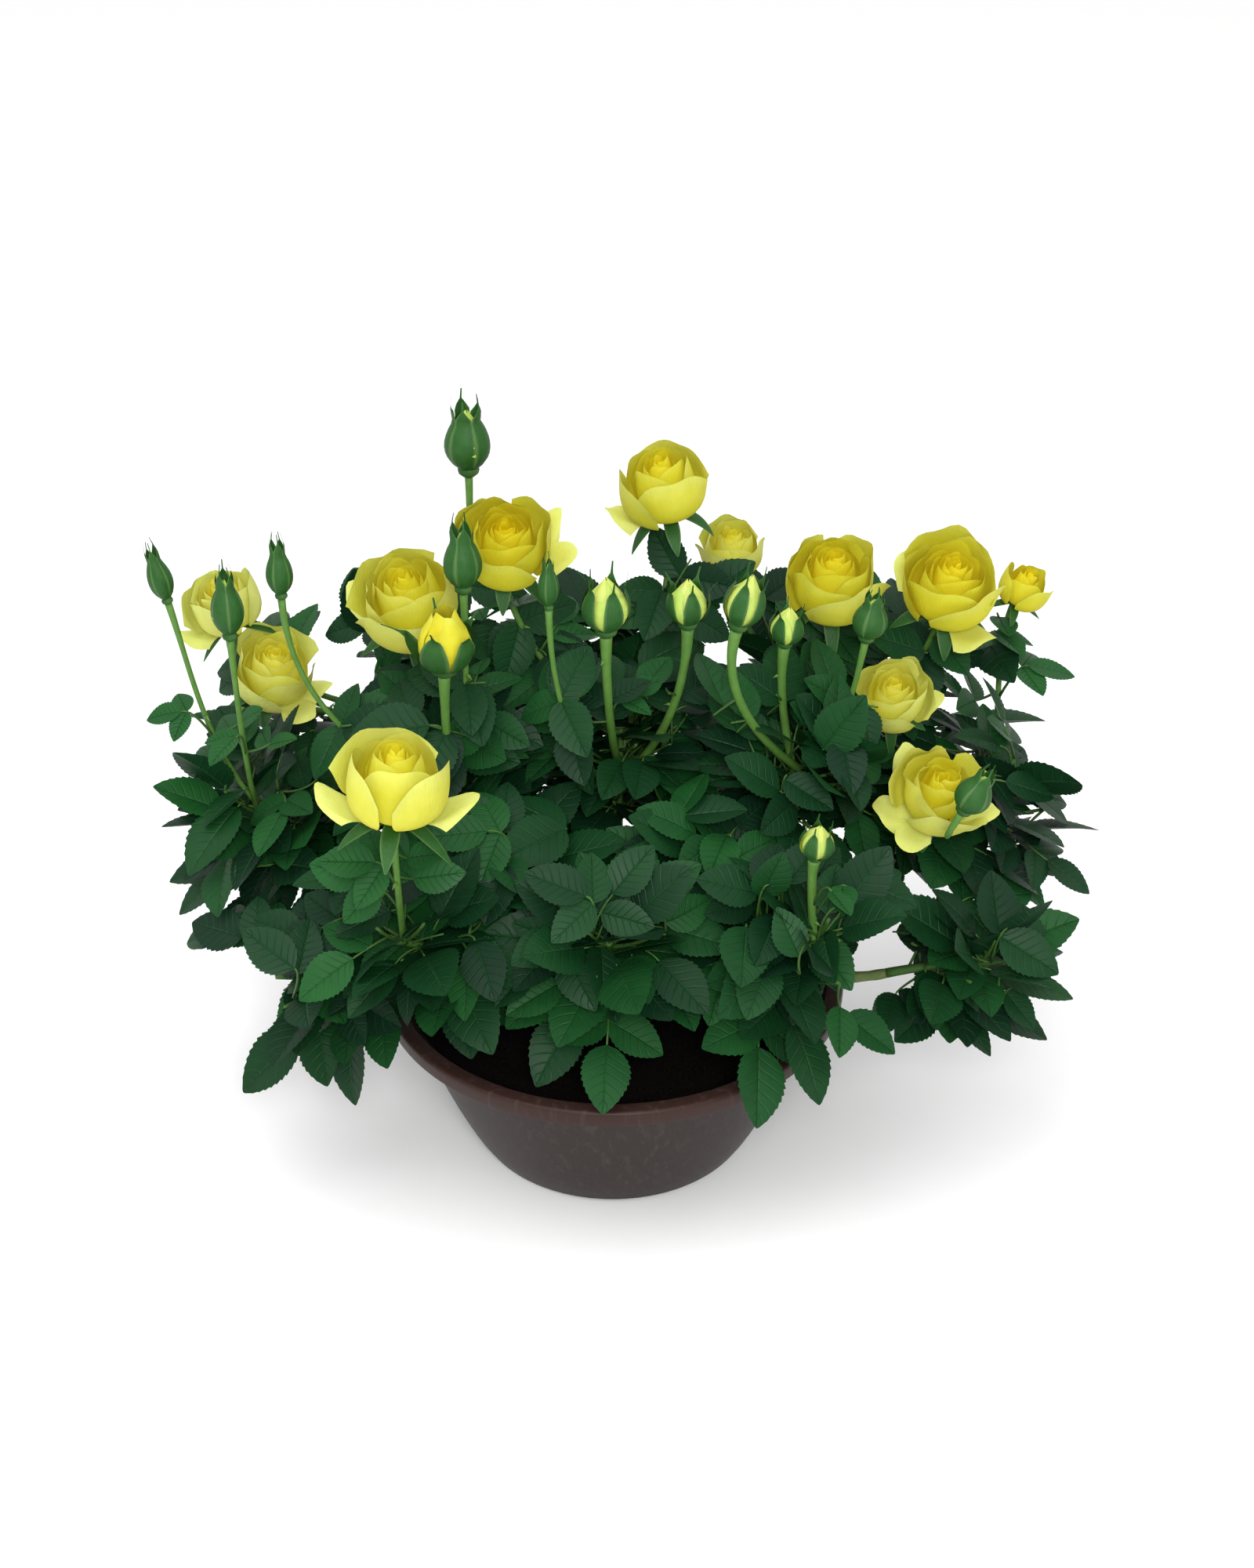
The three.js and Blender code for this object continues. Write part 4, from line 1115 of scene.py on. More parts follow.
def grow_leaf(draw, space, start, aim_at, scale=1.0, posture="finer"):
    """A leaf on a limb, with the leaflets that there is room for, or None where there is none."""
    leaf = Leaf(draw, start, aim_at, scale, POSTURE[posture])
    path = leaf.stalk.points(4)
    if not space.takes_limb(path):
        return None
    wanted, leaf.leaflets = leaf.leaflets, []
    for leaflet in wanted:
        in_the_way = POSTURE[posture]["gives_way"] and not space.leaves_in_view(leaflet.samples)
        if in_the_way or not space.leaves_gaps_open(leaflet.samples):
            continue
        if space.takes_leaflet(leaflet):
            space.add_leaflet(leaflet)
            leaf.leaflets.append(leaflet)
    if not leaf.leaflets:
        return None
    space.add_limb(path, "leaf_stalk")
    return leaf


print("a leaf has up to", 1 + 2 * TWIG["most_pairs"], "leaflets")

# %% Shoots and further leaves
SHOOT = {"per_mass": 16, "heights": (-0.5, 0.9), "reach": 0.6, "sag": 4.0}
FILL = {
    "tries": 430, "heights": (-0.65, 0.98), "shares": (1.35, 0.45), "gap": (1.4, 1.7),
    "scales": (0.66, 1.0), "joint_gap": 70.0,
}
CREST = {
    "tries": 110, "heights": (0.5, 0.99), "shares": (0.95, 1.5), "top": 345.0,
    "scales": (0.7, 1.0), "joint_gap": 45.0, "stalk_joints": (0.15, 0.3, 0.45, 0.6),
    "masses": ("upper_left", "upper_middle", "upper_right", "back_left", "back_middle", "back_right"),
}


def grow_shoot(draw, space, mass, number):
    """A side shoot of the stem, or None where there is no room for it."""
    share = (number + 0.5) / SHOOT["per_mass"]
    angle = (number + draw()) * GOLDEN_ANGLE
    end = on_reach(mass, between(SHOOT["heights"], share), angle, SHOOT["reach"])
    start = mass.stem.at(0.1 + 0.85 * (number + 0.5) / SHOOT["per_mass"])
    shoot = Bend(start, (start + end) / 2 - UP * SHOOT["sag"], end)
    path = shoot.points(5)
    if not space.takes_limb(path):
        return None
    space.add_limb(path, "shoot")
    mass.joints.extend(path[1:])
    return shoot


def nearest_joint(joints, place, least):
    """The nearest joint that is at least so far from a place, or None."""
    gaps = np.linalg.norm(joints - place, axis=1)
    gaps[gaps <= least] = np.inf
    return joints[gaps.argmin()] if np.isfinite(gaps).any() else None


def fill_mass(draw, space, mass):
    """Leaves all through the outer part of a mass, and in the gaps between it and its neighbours."""
    joints = np.array(mass.joints)
    leaves, aims = [], []
    for i in range(FILL["tries"]):
        height = between(FILL["heights"], draw())
        place = on_reach(mass, height, i * GOLDEN_ANGLE, between(FILL["shares"], draw()))
        if space.in_crown(place) and space.clear_of_bowl(place[None]):
            aims.append(place)
    for aim_at in aims:
        scale = between(FILL["scales"], draw())
        start = nearest_joint(joints, aim_at, scale * FILL["joint_gap"])
        if start is not None:
            leaves.append(grow_leaf(draw, space, start, aim_at, scale))
    return leaves


def crest_leaves(draw, space, mass):
    """Leaves that stand up among the flower stalks, from the stalks and the stem's end."""
    joints = mass.joints[-2:]
    for flower in mass.flowers:
        joints = joints + [flower.stalk.at(share) for share in CREST["stalk_joints"]]
    joints = np.array(joints)
    leaves = []
    for i in range(CREST["tries"]):
        height, share = between(CREST["heights"], draw()), between(CREST["shares"], draw())
        scale = between(CREST["scales"], draw())
        aim_at = on_reach(mass, height, i * GOLDEN_ANGLE, share)
        start = nearest_joint(joints, aim_at, scale * CREST["joint_gap"])
        if aim_at[2] < CREST["top"] and start is not None:
            leaves.append(grow_leaf(draw, space, start, aim_at, scale, "crest"))
    return leaves


print("tries for a further leaf:", FILL["tries"], "in a mass,", CREST["tries"], "over it")

# %% Leaves beside the flowers
SPRAY = {
    "bloom": {"leaves": 5, "highest": 0.84, "scale": 0.72, "reach": 56.0},
    "bud": {"leaves": 3, "highest": 0.55, "scale": 0.5, "reach": 48.0},
    "lowest": 0.12,
}
# The flower that each stands beside, how far up its stalk it starts, and where its tip is.
LONE_LEAVES = [
    (3, 0.5, (66, 84, 380)),
    (3, 0.4, (84, 80, 345)),
    (5, 0.7, (236, 62, 318)),
    (6, 0.7, (268, 80, 300)),
]
LONE_SCALE = 0.9


def lone_leaves(draw, space, mass):
    """The few single leaves that stand close beside a flower."""
    leaves = []
    for number, share, tip in LONE_LEAVES:
        if flowers[number] in mass.flowers:
            start = flowers[number].stalk.at(share)
            leaves.append(grow_leaf(draw, space, start, np.array(tip, float), LONE_SCALE, "lone"))
    return leaves


def spray_leaves(draw, space, flower):
    """Small young leaves on a flower stalk, up to just under an open flower and lower under a bud."""
    leaves = []
    spray = SPRAY[flower.kind]
    for i in range(spray["leaves"]):
        span = spray["highest"] - SPRAY["lowest"]
        share = SPRAY["lowest"] + span * (i + draw()) / spray["leaves"]
        start = flower.stalk.at(share)
        angle = i * GOLDEN_ANGLE + 6 * draw()
        out = np.array([math.cos(angle), math.sin(angle), 0.5])
        aim_at = start + out * (spray["reach"] * (1.2 - share))
        leaf = grow_leaf(draw, space, start, aim_at, spray["scale"] * (1.2 - 0.5 * share))
        if leaf:
            leaf.young = True
            leaves.append(leaf)
    return leaves


print("lone leaves:", len(LONE_LEAVES))

# %% Growing the plant
def grow(masses, space):
    """Leaves that the solids show come first, and then the finer shoots and leaves between."""
    for number, mass in enumerate(masses):
        draw = seeded_numbers(number + 1)
        aims = twig_aims(draw, space, mass)
        mass.joints = list(mass.stem.points(6)[1:])
        starts = [mass.stem.at(0.1 + 0.9 * i / (len(aims) - 1)) for i in range(len(aims))]
        mass.leaves = [grow_leaf(draw, space, *ends, posture="first") for ends in zip(starts, aims)]
    for number, mass in enumerate(masses):
        draw = seeded_numbers(number + 101)
        mass.leaves += lone_leaves(draw, space, mass)
        shoots = [grow_shoot(draw, space, mass, i) for i in range(SHOOT["per_mass"])]
        mass.shoots = [shoot for shoot in shoots if shoot]
        mass.leaves += fill_mass(draw, space, mass)
        if mass.name in CREST["masses"]:
            mass.leaves += crest_leaves(draw, space, mass)
        for flower in mass.flowers:
            mass.leaves += spray_leaves(draw, space, flower)
        mass.leaves = [leaf for leaf in mass.leaves if leaf]


grow(masses, Space())
leaflet_counts = {mass.name: sum(len(leaf.leaflets) for leaf in mass.leaves) for mass in masses}
print("leaflets:", leaflet_counts, "in all", sum(leaflet_counts.values()))
print("shoots:", sum(len(mass.shoots) for mass in masses))

# %% [markdown]
# ## Leaflets
# A rose leaflet is egg-shaped with a saw edge, folded along its midrib, and its tip bends down. A
# picture of a leaf on a card would lose its edge, so each leaflet is a small mesh with real teeth.
# A handful of forms with different folds and bends are dealt out among the thousands of leaflets.

# %% Leaflet forms
TEETH = 12
TOOTH = {"gum": -0.03, "tip": 0.05, "lean": 0.8}

# How far each form folds, droops and twists.
LEAF_FORMS = [
    (0.30, 0.10, 0.05),
    (0.18, 0.16, -0.06),
    (0.42, 0.06, 0.0),
    (0.24, 0.22, 0.08),
    (0.12, 0.12, -0.03),
    (0.34, 0.18, 0.04),
]


def half_width(share):
    """Half a leaflet's width at a share of its length."""
    return 0.5 * LEAFLET["width"] * math.sin(math.pi * min(1, max(0, share)) ** 0.8) ** 0.74


def leaflet_form(fold, droop, twist):
    """A leaflet one unit long: its corners as (along, across, up), its faces and its spots."""
    corners, spots = [], []

    def corner(along, across, tooth=0.0):
        width = half_width(along) * (1 + tooth)
        folded = fold * abs(across) * width * (1 - 0.45 * abs(across))
        drooped = droop * along**2 + 0.05 * math.sin(math.pi * along)
        twisted = twist * across * width * along * 3
        up = folded - drooped + twisted + 0.05 * math.sin(3.1 * along)
        corners.append((along * (1 - 0.1 * droop), across * width, up))
        spots.append((along, across, 0))
        return len(corners) - 1

    faces = []
    for hand in (-1, 1):
        rows = []
        for i in range(TEETH + 1):
            share = i / TEETH
            inner = corner(share, 0)
            middle = corner(share, 0.55 * hand)
            edge = corner(share, hand, TOOTH["gum"])
            tooth = corner(min(1, share + TOOTH["lean"] / TEETH), hand, TOOTH["tip"])
            rows.append((inner, middle, edge, tooth))
        for near, far in zip(rows, rows[1:]):
            strips = [(near[0], far[0], far[1], near[1]), (near[1], far[1], far[2], near[3], near[2])]
            faces.extend(strip[:: -hand] for strip in strips)
    return np.array(corners), faces, np.array(spots)


def leaflet_part(leaflet, form, tone):
    """A form stretched and turned to one leaflet's place, with its tone in the third spot."""
    corners, faces, spots = form
    basis = np.array([leaflet.along, leaflet.side, leaflet.face]) * leaflet.length
    toned = spots.copy()
    toned[:, 2] = tone
    return Part(leaflet.root + corners @ basis, faces, toned)


leaf_forms = [leaflet_form(*form) for form in LEAF_FORMS]
print("triangles in a leaflet:", sum(len(face) - 2 for face in leaf_forms[0][1]))

# %% [markdown]
# ## The leaf finish
# Rose leaves are deep green and glossy, with a pale midrib, sunken side veins and a bluish bloom.
# Young leaves are brighter. The pattern is worked out from each corner's spot, so every leaflet has
# its own veins without any picture.

# %% Leaf finish
leafy = Finish("rose_leaf")
along_leaf, across_leaf, leaf_tone = leafy.spot()
half = abs(across_leaf)
vein_phase = (along_leaf * 7.5 - half * 1.5).wave(0.5)
side_vein = (1 - vein_phase * 9).clamped() * (1 - half * 0.75)
midrib = (1 - half * 16).clamped()
veins = (side_vein * 0.45 + midrib).clamped()
leaf_cloud = leafy.noise(70, 4)
deep = leafy.mix(leaf_cloud, (0.0018, 0.0155, 0.0060), (0.0033, 0.0250, 0.0090))
bright = leafy.mix(leaf_cloud, (0.0055, 0.051, 0.011), (0.0135, 0.091, 0.017))
blade_colour = leafy.mix(leaf_tone, deep, bright)
leafy.surface(
    Base_Color=leafy.mix(veins * 0.4, blade_colour, (0.020, 0.085, 0.025)),
    Roughness=0.40 + leaf_cloud * 0.14,
    Specular_IOR_Level=0.14,
    Normal=leafy.bump(leafy.noise(500, 3) * 0.12 - side_vein * 0.5 - midrib * 0.6, 0.0007),
)

print("nodes in the leaf finish:", len(leafy.tree.nodes))

# %% Leaves
tone_random = np.random.default_rng(5)


def mass_leaf_parts(mass):
    """Every leaflet of a mass, each with a form and a tone dealt out to it."""
    parts = []
    for leaf in mass.leaves:
        leaf_age = 1.2 if leaf.young else tone_random.uniform() ** 1.6
        for leaflet in leaf.leaflets:
            form = leaf_forms[tone_random.integers(len(leaf_forms))]
            tone = min(1, max(0, leaf_age * 0.8 + tone_random.uniform(-0.1, 0.2)))
            parts.append(leaflet_part(leaflet, form, tone))
    return parts


LEAF_GROUPS = {
    "leaves_left": ("front_left", "low_left", "side_left", "back_left", "rear_left"),
    "leaves_middle": (
        "front_middle", "inner_left", "inner_right", "upper_left", "upper_middle", "back_middle",
    ),
    "leaves_right": (
        "front_right", "upper_right", "low_right", "side_right", "back_right", "rear_right",
    ),
}
for group, names in LEAF_GROUPS.items():
    parts = [part for mass in masses if mass.name in names for part in mass_leaf_parts(mass)]
    joined_piece(group, parts, leafy, [f"foliage_{name}" for name in names])

# %% [markdown]
# ## Stems, shoots and stalks
# The young growth that carries leaves and flowers is smooth and yellow-green, and darker green where
# it is oldest. A curve object could carry a bevel, but tubes in mesh code join into one piece.

# %% Green stems
green = Finish("green_stem")
along_stem, _, stem_tone = green.spot()
stem_cloud = green.noise(160, 4)
stem_dark = green.mix(stem_cloud, (0.012, 0.045, 0.008), (0.028, 0.075, 0.014))
stem_light = green.mix(stem_cloud, (0.055, 0.150, 0.022), (0.110, 0.235, 0.042))
green.surface(
    Base_Color=green.mix((stem_tone * 0.85 + along_stem * 0.25).clamped(), stem_dark, stem_light),
    Roughness=0.42 + stem_cloud * 0.12,
    Specular_IOR_Level=0.25,
    Normal=green.bump(green.noise(900, 3, (1, 1, 0.3)), 0.0003),
)

print("nodes in the stem finish:", len(green.tree.nodes))

# %% Limbs and stalks
# Each limb's radii at its foot and tip, its steps and sides, and how pale it is.
LIMBS = {
    "stem": ((3.0, 2.0), 14, 8, 0.25),
    "shoot": ((1.5, 1.0), 6, 6, 0.1),
    "leaf_stalk": ((0.95, 0.55), 6, 5, 0.15),
}
FLOWER_STALK = {
    "steps": 28, "sides": 10, "tone": 0.85, "at": (0, 0.1, 0.8, 1), "radii": (2.4, 1.7, 1.8, 2.5),
    "sturdy": 1.45,
}


def limb_part(kind, bend):
    """A tube along a bend, as thick and pale as its kind is."""
    radii, steps, sides, tone = LIMBS[kind]
    return tube(bend.points(steps), np.linspace(*radii, steps + 1), sides, tone)


def stalk_parts(flower):
    """A flower stalk, as thick as its flower needs, with a prickle on it."""
    sturdy = flower.looks["form"] in ("opening", "pale")
    thick = FLOWER_STALK["sturdy"] if sturdy else 0.8 + 0.2 * min(1.4, flower.width / 30)
    shares = np.linspace(0, 1, FLOWER_STALK["steps"] + 1)
    radii = np.interp(shares, FLOWER_STALK["at"], FLOWER_STALK["radii"]) * thick
    path = flower.stalk.points(FLOWER_STALK["steps"])
    stalk = tube(path, radii, FLOWER_STALK["sides"], FLOWER_STALK["tone"])
    return [stalk, *prickles(path, 1.5, 1)]


stem_parts = []
for mass in masses:
    stem_parts.append(limb_part("stem", mass.stem))
    stem_parts += [limb_part("shoot", shoot) for shoot in mass.shoots]
    stem_parts += [limb_part("leaf_stalk", leaf.stalk) for leaf in mass.leaves]
    for flower in mass.flowers:
        stem_parts += stalk_parts(flower)
joined_piece("green_stems", stem_parts, green)

# %% [markdown]
# ## Petals
# A rose's petals follow one another round a spiral, each a fixed turn on from the last. The inner ones
# are wound tight round the heart, and the outer ones stand as a cup whose rims roll back. So one rule
# with the petal's share of the way out, from 0 to 1, shapes them all. Each petal is a grid of corners
# wrapped round the cup, with one edge tucked in and the other lying over the next petal.

# %% One petal
PETAL_GRID = (15, 12)
PETAL_TURN = math.radians(137.5)
petal_random = np.random.default_rng(33)


def petal_curve(share, opened):
    """The radii and heights that a petal climbs by, in units of the head's radius."""
    belly = 0.20 + 0.78 * share**1.45
    foot = 0.30 * (1 - share)
    rim = (belly * (0.42 + 0.42 * share) + opened * share, 1.50 - 0.16 * share - 0.3 * opened)
    return np.array([(0.06, foot), (belly * 1.15, foot), (belly * 1.14, 0.55 + 0.4 * foot), rim])


def petal(curve, half, roll, ruffle, share, tone, tuck, corner):
    """One petal round +Z, in units of the head's radius.

    It spans half an angle to each side, its rim rolls back and ruffles, one edge is tucked in, and
    its corners are rounded off.
    """
    columns, rows = PETAL_GRID
    phase = petal_random.uniform(0, 6.28)

    def place(i, k):
        u, v = 2 * i / (columns - 1) - 1, k / (rows - 1)
        rise = v * (1 - corner * abs(u) ** (0.8 / corner))
        radius, height = Bend(*curve).at(min(rise, 1.06))
        spread = half * (0.35 + 0.65 * math.sin(min(1, 1.5 * v) * math.pi / 2))
        rim = max(0, v - 0.6) / 0.4
        curl = roll * rim**2 * (0.5 + 0.5 * u**2)
        frill = 0.4 * ruffle * rim**2 * math.sin(8.5 * u + 2.3 * phase)
        radius += curl + tuck * u + ruffle * rim * math.sin(3.2 * u + phase) + frill
        height += ruffle * rim * math.cos(4.1 * u + phase) - curl * 0.8 * rim + frill
        turn = u * spread
        return (radius * math.sin(turn), -radius * math.cos(turn), height), (v, share, tone)

    return grid(columns, rows, place)


print("corners in a petal:", PETAL_GRID[0] * PETAL_GRID[1])

# %% Open flowers
FORMS = {
    "cupped": {"petals": 17, "open": 0.0, "ruffle": 0.02},
    "full": {"petals": 22, "open": 0.04, "ruffle": 0.05},
    "flared": {"petals": 20, "open": 0.14, "ruffle": 0.06},
    "small": {"petals": 13, "open": 0.0, "ruffle": 0.05},
    "spent": {"petals": 16, "open": 0.12, "ruffle": 0.1},
}
PETAL_VARIETY = (0.97, 1.03)
STANDING = {"tuck": 0.05, "corner": 0.2}
FALLEN = {"half": 0.46, "roll": 0.16, "ruffle": 0.06, "tuck": 0.0, "corner": 0.55}
FALLEN_CURVE = ((0.1, 0.02), (0.8, -0.1), (1.1, 0.15), (1.36, 0.50))
FALLEN_VARIETY = (0.94, 1.06)


def set_on(flower, part, angle, size=1.0):
    """A part turned about +Z, away from -Y, and stood on a flower's base."""
    c, s = math.cos(angle), math.sin(angle)
    part.corners = part.corners @ np.array([[c, s, 0], [-s, c, 0], [0, 0, 1]]) * size
    return stood(part, flower.base, flower.axis)


def bloom_parts(flower):
    """The petals of an open flower. Paler flowers have paler outer petals."""
    form, pale = FORMS[flower.looks["form"]], flower.looks["pale"]
    start = petal_random.uniform(0, 6.28)
    parts = []
    for i in range(form["petals"]):
        share = i / (form["petals"] - 1)
        curve = petal_curve(share, form["open"]) * petal_random.uniform(*PETAL_VARIETY, (4, 2))
        tone = min(1, pale * 0.7 + share**2 * 0.45 + petal_random.uniform(-0.06, 0.06))
        half, roll = 2.0 - 1.0 * share**0.8, 0.01 + 0.16 * share**2
        made = petal(curve, half, roll, form["ruffle"] * (0.3 + share), share, tone, **STANDING)
        parts.append(set_on(flower, made, start + i * PETAL_TURN, flower.radius))
    for angle in flower.looks["fallen"]:
        curve = np.array(FALLEN_CURVE) * petal_random.uniform(*FALLEN_VARIETY, (4, 2))
        made = petal(curve, share=1.0, tone=min(1, pale * 0.5 + 0.75), **FALLEN)
        parts.append(set_on(flower, made, math.radians(angle + 90), flower.radius))
    return parts


print("most petals:", max(form["petals"] for form in FORMS.values()))

# %% Buds
FURLED = {
    "petals": 6, "foot": 0.14, "top": 0.88, "steps": 6, "half": 1.35, "mouth": 0.85,
    "shrink": 0.045, "peep": 0.04,
}
FURLED_OPENING = {"top": 1.02, "mouth": 0.0, "ruffle": 0.015}


def egg(share, width):
    """The radius of a bud's body at a share of its height."""
    return 0.5 * width * max(0.0, math.sin(math.pi * (0.06 + 0.90 * share) ** 0.82)) ** 0.72


def furled_petal(rows, half, ruffle, tone):
    """A petal that hugs a body given by radii and heights, with one edge over the next petal."""
    columns, rise = PETAL_GRID[0], rows[-1][1] - rows[0][1]

    def place(i, k):
        u, v = 2 * i / (columns - 1) - 1, k / (len(rows) - 1)
        radius, height = rows[k]
        lap = radius * (1 + 0.06 * u) + ruffle * v**3 * (1 + math.sin(3 * u))
        turn = u * half * (1 - 0.25 * v**2)
        fall = 0.10 * rise * v**3 * u**2
        return (lap * math.sin(turn), -lap * math.cos(turn), height - fall), (v, 1.0, tone)

    return grid(columns, len(rows), place)


def bud_petal_parts(flower):
    """The furled petals of a bud, seen between its sepals."""
    w, h = flower.width, flower.height
    looks = FURLED | {"ruffle": 0.0}
    if flower.looks["form"] == "opening":
        looks |= FURLED_OPENING
    foot, top = looks["foot"] * h, looks["top"] * h
    parts = []
    for i in range(looks["petals"]):
        inner = 1 - looks["shrink"] * (looks["petals"] - 1 - i)
        reach = top if i >= looks["petals"] // 2 else top + looks["peep"] * h
        rows = [
            (egg(min(s, 0.93), w) * inner * (1 - looks["mouth"] * s**7), foot + s * (reach - foot))
            for s in np.linspace(0, 1, looks["steps"] + 1)
        ]
        tone = flower.looks["tone"] + 0.05 * i
        made = furled_petal(rows, looks["half"], looks["ruffle"] * w, tone)
        parts.append(set_on(flower, made, i * PETAL_TURN + flower.centre[0]))
    return parts


print("furled petals in a bud:", FURLED["petals"])

# %% Petals
petal_finish = Finish("yellow_petal")
up_petal, petal_share, petal_tone = petal_finish.spot()
petal_veins = petal_finish.noise(700, 3, (1, 1, 0.15))
petal_cloud = petal_finish.noise(120, 3)
golden = petal_finish.mix(petal_cloud, (0.47, 0.35, 0.0008), (0.57, 0.45, 0.0020))
lemon = petal_finish.mix(petal_cloud, (0.43, 0.415, 0.014), (0.52, 0.50, 0.036))
creamy = petal_finish.mix(petal_cloud, (0.46, 0.50, 0.10), (0.56, 0.60, 0.19))
leafy_yellow = petal_finish.mix(petal_cloud, (0.26, 0.42, 0.06), (0.38, 0.52, 0.12))
rim_pale = ((up_petal - 0.80) * 4).clamped() * 0.22
paleness = (petal_tone + up_petal * 0.22 - 0.16 + rim_pale).clamped()
golden_to_lemon = petal_finish.mix((paleness * 2).clamped(), golden, lemon)
petal_colour = petal_finish.mix((paleness * 2 - 1).clamped(), golden_to_lemon, creamy)
petal_colour = petal_finish.mix(((petal_tone - 1.4) * 3).clamped(), petal_colour, leafy_yellow)
petal_finish.surface(
    Base_Color=petal_colour,
    Roughness=0.55 + petal_veins * 0.15,
    Specular_IOR_Level=0.2,
    Normal=petal_finish.bump(petal_veins * 0.5 + petal_cloud * 0.5, 0.0005),
    # The emission is painted light: the inner petals glow golden to lift the shade deep in each heart,
    # and the outer petals, fallen petals and buds glow a faint yellow.
    Emission_Color=petal_finish.mix(petal_share, golden, (0.15, 0.135, 0.008)),
    Emission_Strength=0.42,
    Subsurface_Weight=0.12,
    Subsurface_Radius=(0.004, 0.003, 0.001),
    Subsurface_Scale=1.0,
)
petals = []
for flower in flowers:
    petals += bloom_parts(flower) if flower.kind == "bloom" else bud_petal_parts(flower)
joined_piece("petals", petals, petal_finish)

# %% [markdown]
# ## Sepals and hips
# Five green sepals wrap each bud and end in long thin tips. Under an open flower they fold back and
# hang. Below them sits a small round hip. A sepal on a bud hugs the bud's own body, so it is worked
# out from the same egg shape, and lifts away from it only towards its tip.

# %% Sepals
SEPAL = {"count": 5, "steps": 14, "columns": 5, "wrap": 0.64, "keel": 0.05, "least_radius": 0.5}
BUD_SEPAL = {
    "foot": 0.13, "end": 0.88, "shut_below": 0.3, "width": 0.38, "thinning": 0.09, "pale_width": 0.23,
    "hug": 1.05, "tall": 1.1, "tall_shut": 1.2, "leaves_at": 0.45, "start": 0.3,
}
BLOOM_SEPAL = {
    "width": 0.17, "thinnest": 0.012, "drop": (0.3, 0.75), "reach": (0.95, 1.2), "sway": (-0.2, 0.2),
}


def sepal(path, breadths):
    """A blade along radii and heights, as broad as is given at each, with a keel down its middle."""

    def place(i, k):
        (radius, height), breadth = path[i], breadths[i]
        u = 2 * k / (SEPAL["columns"] - 1) - 1
        turn = u * breadth / max(radius, SEPAL["least_radius"])
        turn = max(-SEPAL["wrap"], min(SEPAL["wrap"], turn))
        reach = radius + SEPAL["keel"] * breadth * (1 - abs(u))
        spot = (i / (len(path) - 1), u, 0.5)
        return (reach * math.sin(turn), -reach * math.cos(turn), height), spot

    return grid(len(path), SEPAL["columns"], place, -1)


def bud_sepal_parts(flower):
    """Sepals that hug a bud, and spread from it towards their tips."""
    w, h = flower.width, flower.height
    spread = flower.looks["spread"]
    shut = spread < BUD_SEPAL["shut_below"]
    wide = BUD_SEPAL["width"] - BUD_SEPAL["thinning"] * spread
    if flower.looks["form"] == "pale":
        wide = BUD_SEPAL["pale_width"]
    foot = BUD_SEPAL["foot"] * h
    parts = []
    for i in range(SEPAL["count"]):
        out = spread * (0.7 + 0.5 * petal_random.uniform())
        tall = BUD_SEPAL["tall_shut" if shut else "tall"] * petal_random.uniform(0.94, 1.0)
        path, breadths = [], []
        for step in range(SEPAL["steps"] + 1):
            v = step / SEPAL["steps"]
            share = v * (tall * h - foot) / (BUD_SEPAL["end"] * h - foot)
            lift = max(0, v - BUD_SEPAL["leaves_at"] + 0.25 * out) ** 1.6
            pinch = 1 - 0.55 * max(0, v - 0.8) / 0.2 * (1 - out)
            radius = egg(min(share, 0.86), w) * BUD_SEPAL["hug"] * pinch + lift * out * w * 1.1
            path.append((radius, foot + v * (tall * h - foot) - lift * out * h * 0.35))
            broad = wide * math.sin(math.pi * min(1, 0.22 + v * 0.95)) ** (0.5 if shut else 0.85)
            breadths.append(w * max(broad, 0.06 * (1 - 0.7 * v)))
        made = sepal(path, breadths)
        angle = 2 * math.pi * i / SEPAL["count"] + BUD_SEPAL["start"] + flower.centre[1]
        parts.append(set_on(flower, made, angle))
    return parts


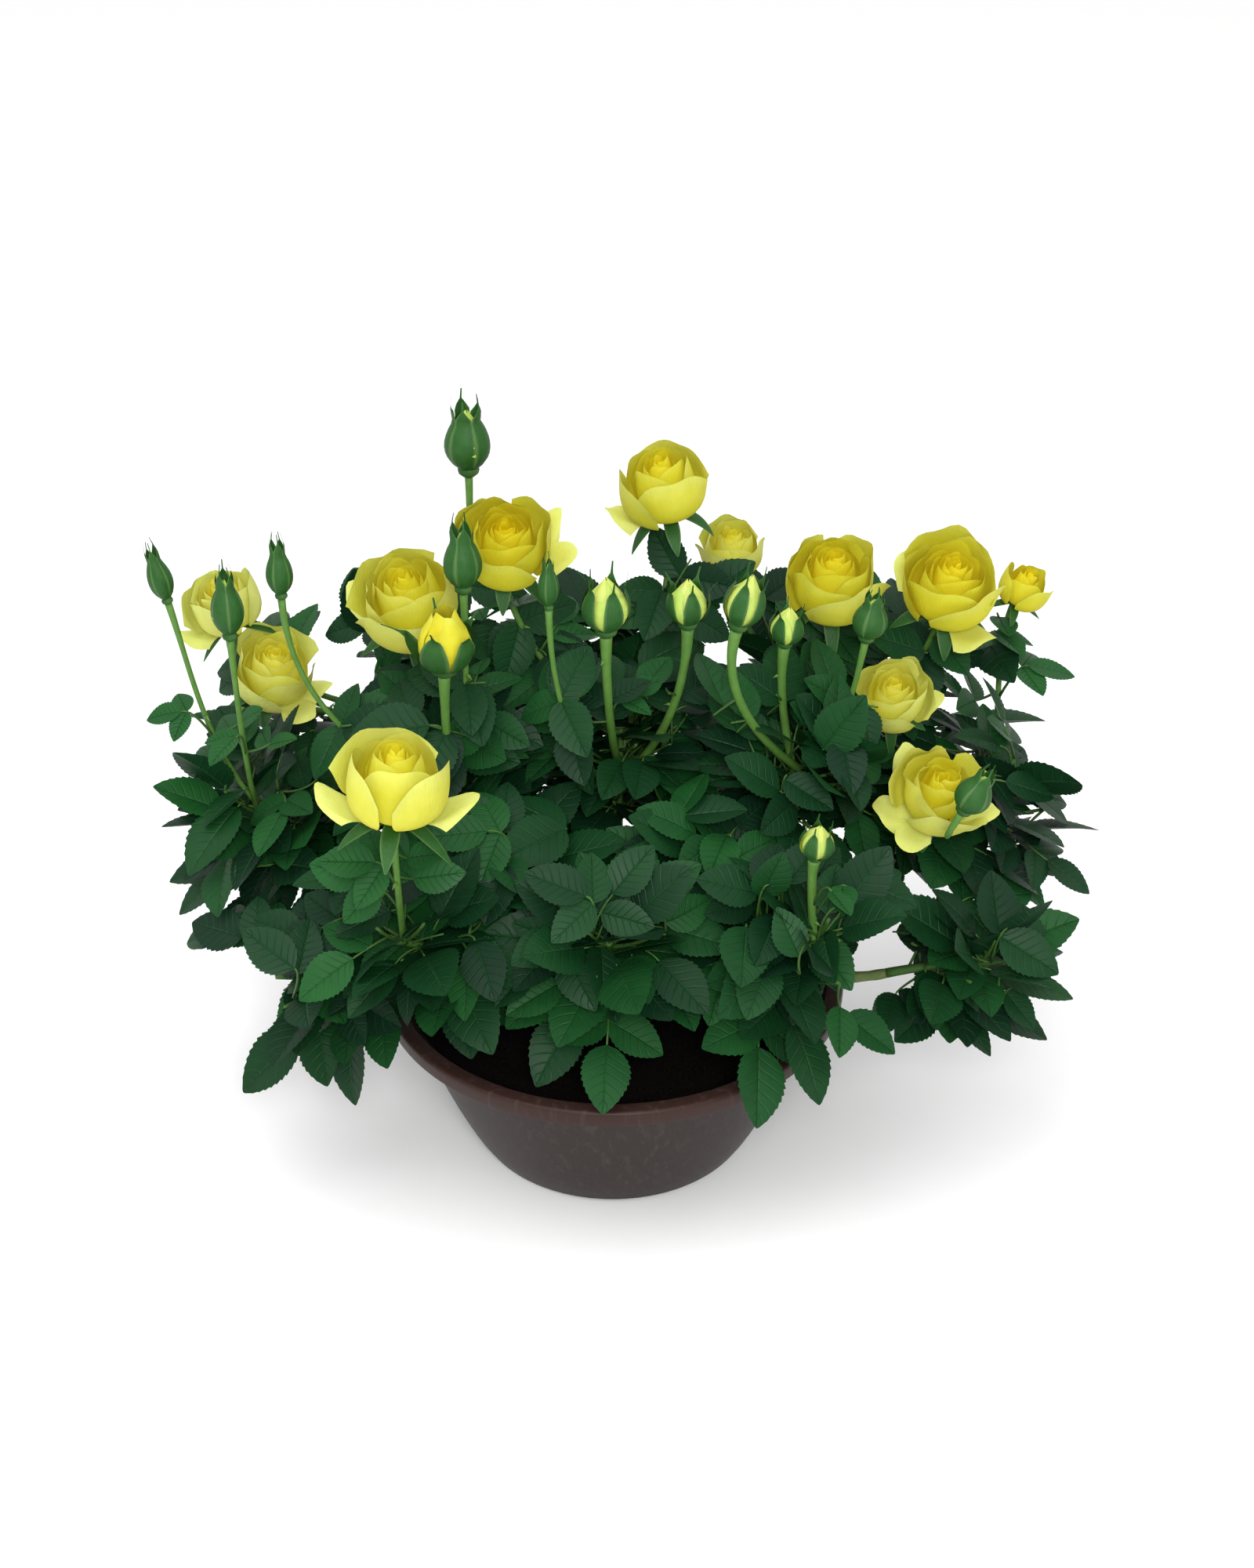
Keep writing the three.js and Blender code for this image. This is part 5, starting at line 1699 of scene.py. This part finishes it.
def bloom_sepal_parts(flower):
    """Sepals that fold back and hang under an open flower."""
    r = flower.radius
    shares = np.linspace(0, 1, SEPAL["steps"] + 1)
    breadths = BLOOM_SEPAL["width"] * np.sin(np.pi * (0.25 + 0.72 * shares))
    breadths = r * np.maximum(breadths, BLOOM_SEPAL["thinnest"])
    parts = []
    for i in range(SEPAL["count"]):
        drop = petal_random.uniform(*BLOOM_SEPAL["drop"])
        tip = (petal_random.uniform(*BLOOM_SEPAL["reach"]) * r, -drop * r)
        curve = Bend((0.12 * r, 0.0), (0.55 * r, 0.02 * r), (0.85 * r, -drop * 0.5 * r), tip)
        made = sepal(curve.points(SEPAL["steps"]), breadths)
        angle = 2 * math.pi * i / SEPAL["count"] + petal_random.uniform(*BLOOM_SEPAL["sway"])
        parts.append(set_on(flower, made, angle))
    return parts


print("corners in a sepal:", (SEPAL["steps"] + 1) * SEPAL["columns"])

# %% Hips
HIP_SIDES = 14

# Radii and heights, in units of the hip's size.
TALL_HIP = [(0, 0), (0.5, 0.05), (0.85, 0.5), (1.0, 1.0), (0.8, 1.5), (0.7, 1.7), (0, 1.75)]
ROUND_HIP = [(0, 0), (0.55, 0.05), (0.95, 0.4), (1.02, 0.75), (0.85, 1.1), (0.7, 1.3), (0, 1.35)]


def hip_part(flower):
    """The green hip under a flower, tall under an open flower and round under a bud."""
    if flower.kind == "bloom":
        outline, size, base = TALL_HIP, 0.2 * flower.radius, -0.30 * flower.radius
    else:
        outline, size, base = ROUND_HIP, 0.25 * flower.width, 0.0
    part = turned([(r * size, z * size + base) for r, z in outline], HIP_SIDES)
    return stood(part, flower.base, flower.axis)


sepal_finish = Finish("green_sepal")
up_sepal, across_sepal, _ = sepal_finish.spot()
sepal_cloud = sepal_finish.noise(200, 4)
sepal_green = sepal_finish.mix(sepal_cloud, (0.010, 0.055, 0.009), (0.025, 0.100, 0.016))
sepal_edge = (abs(across_sepal) * 3 - 2.1).clamped()
sepal_finish.surface(
    Base_Color=sepal_finish.mix(sepal_edge * 0.5, sepal_green, (0.14, 0.24, 0.08)),
    Roughness=0.45 + sepal_cloud * 0.15,
    Specular_IOR_Level=0.2,
    Normal=sepal_finish.bump(sepal_finish.noise(900, 2, (1, 1, 0.2)), 0.0003),
)
sepals = [hip_part(flower) for flower in flowers]
for flower in flowers:
    sepals += bloom_sepal_parts(flower) if flower.kind == "bloom" else bud_sepal_parts(flower)
joined_piece("sepals_and_hips", sepals, sepal_finish)
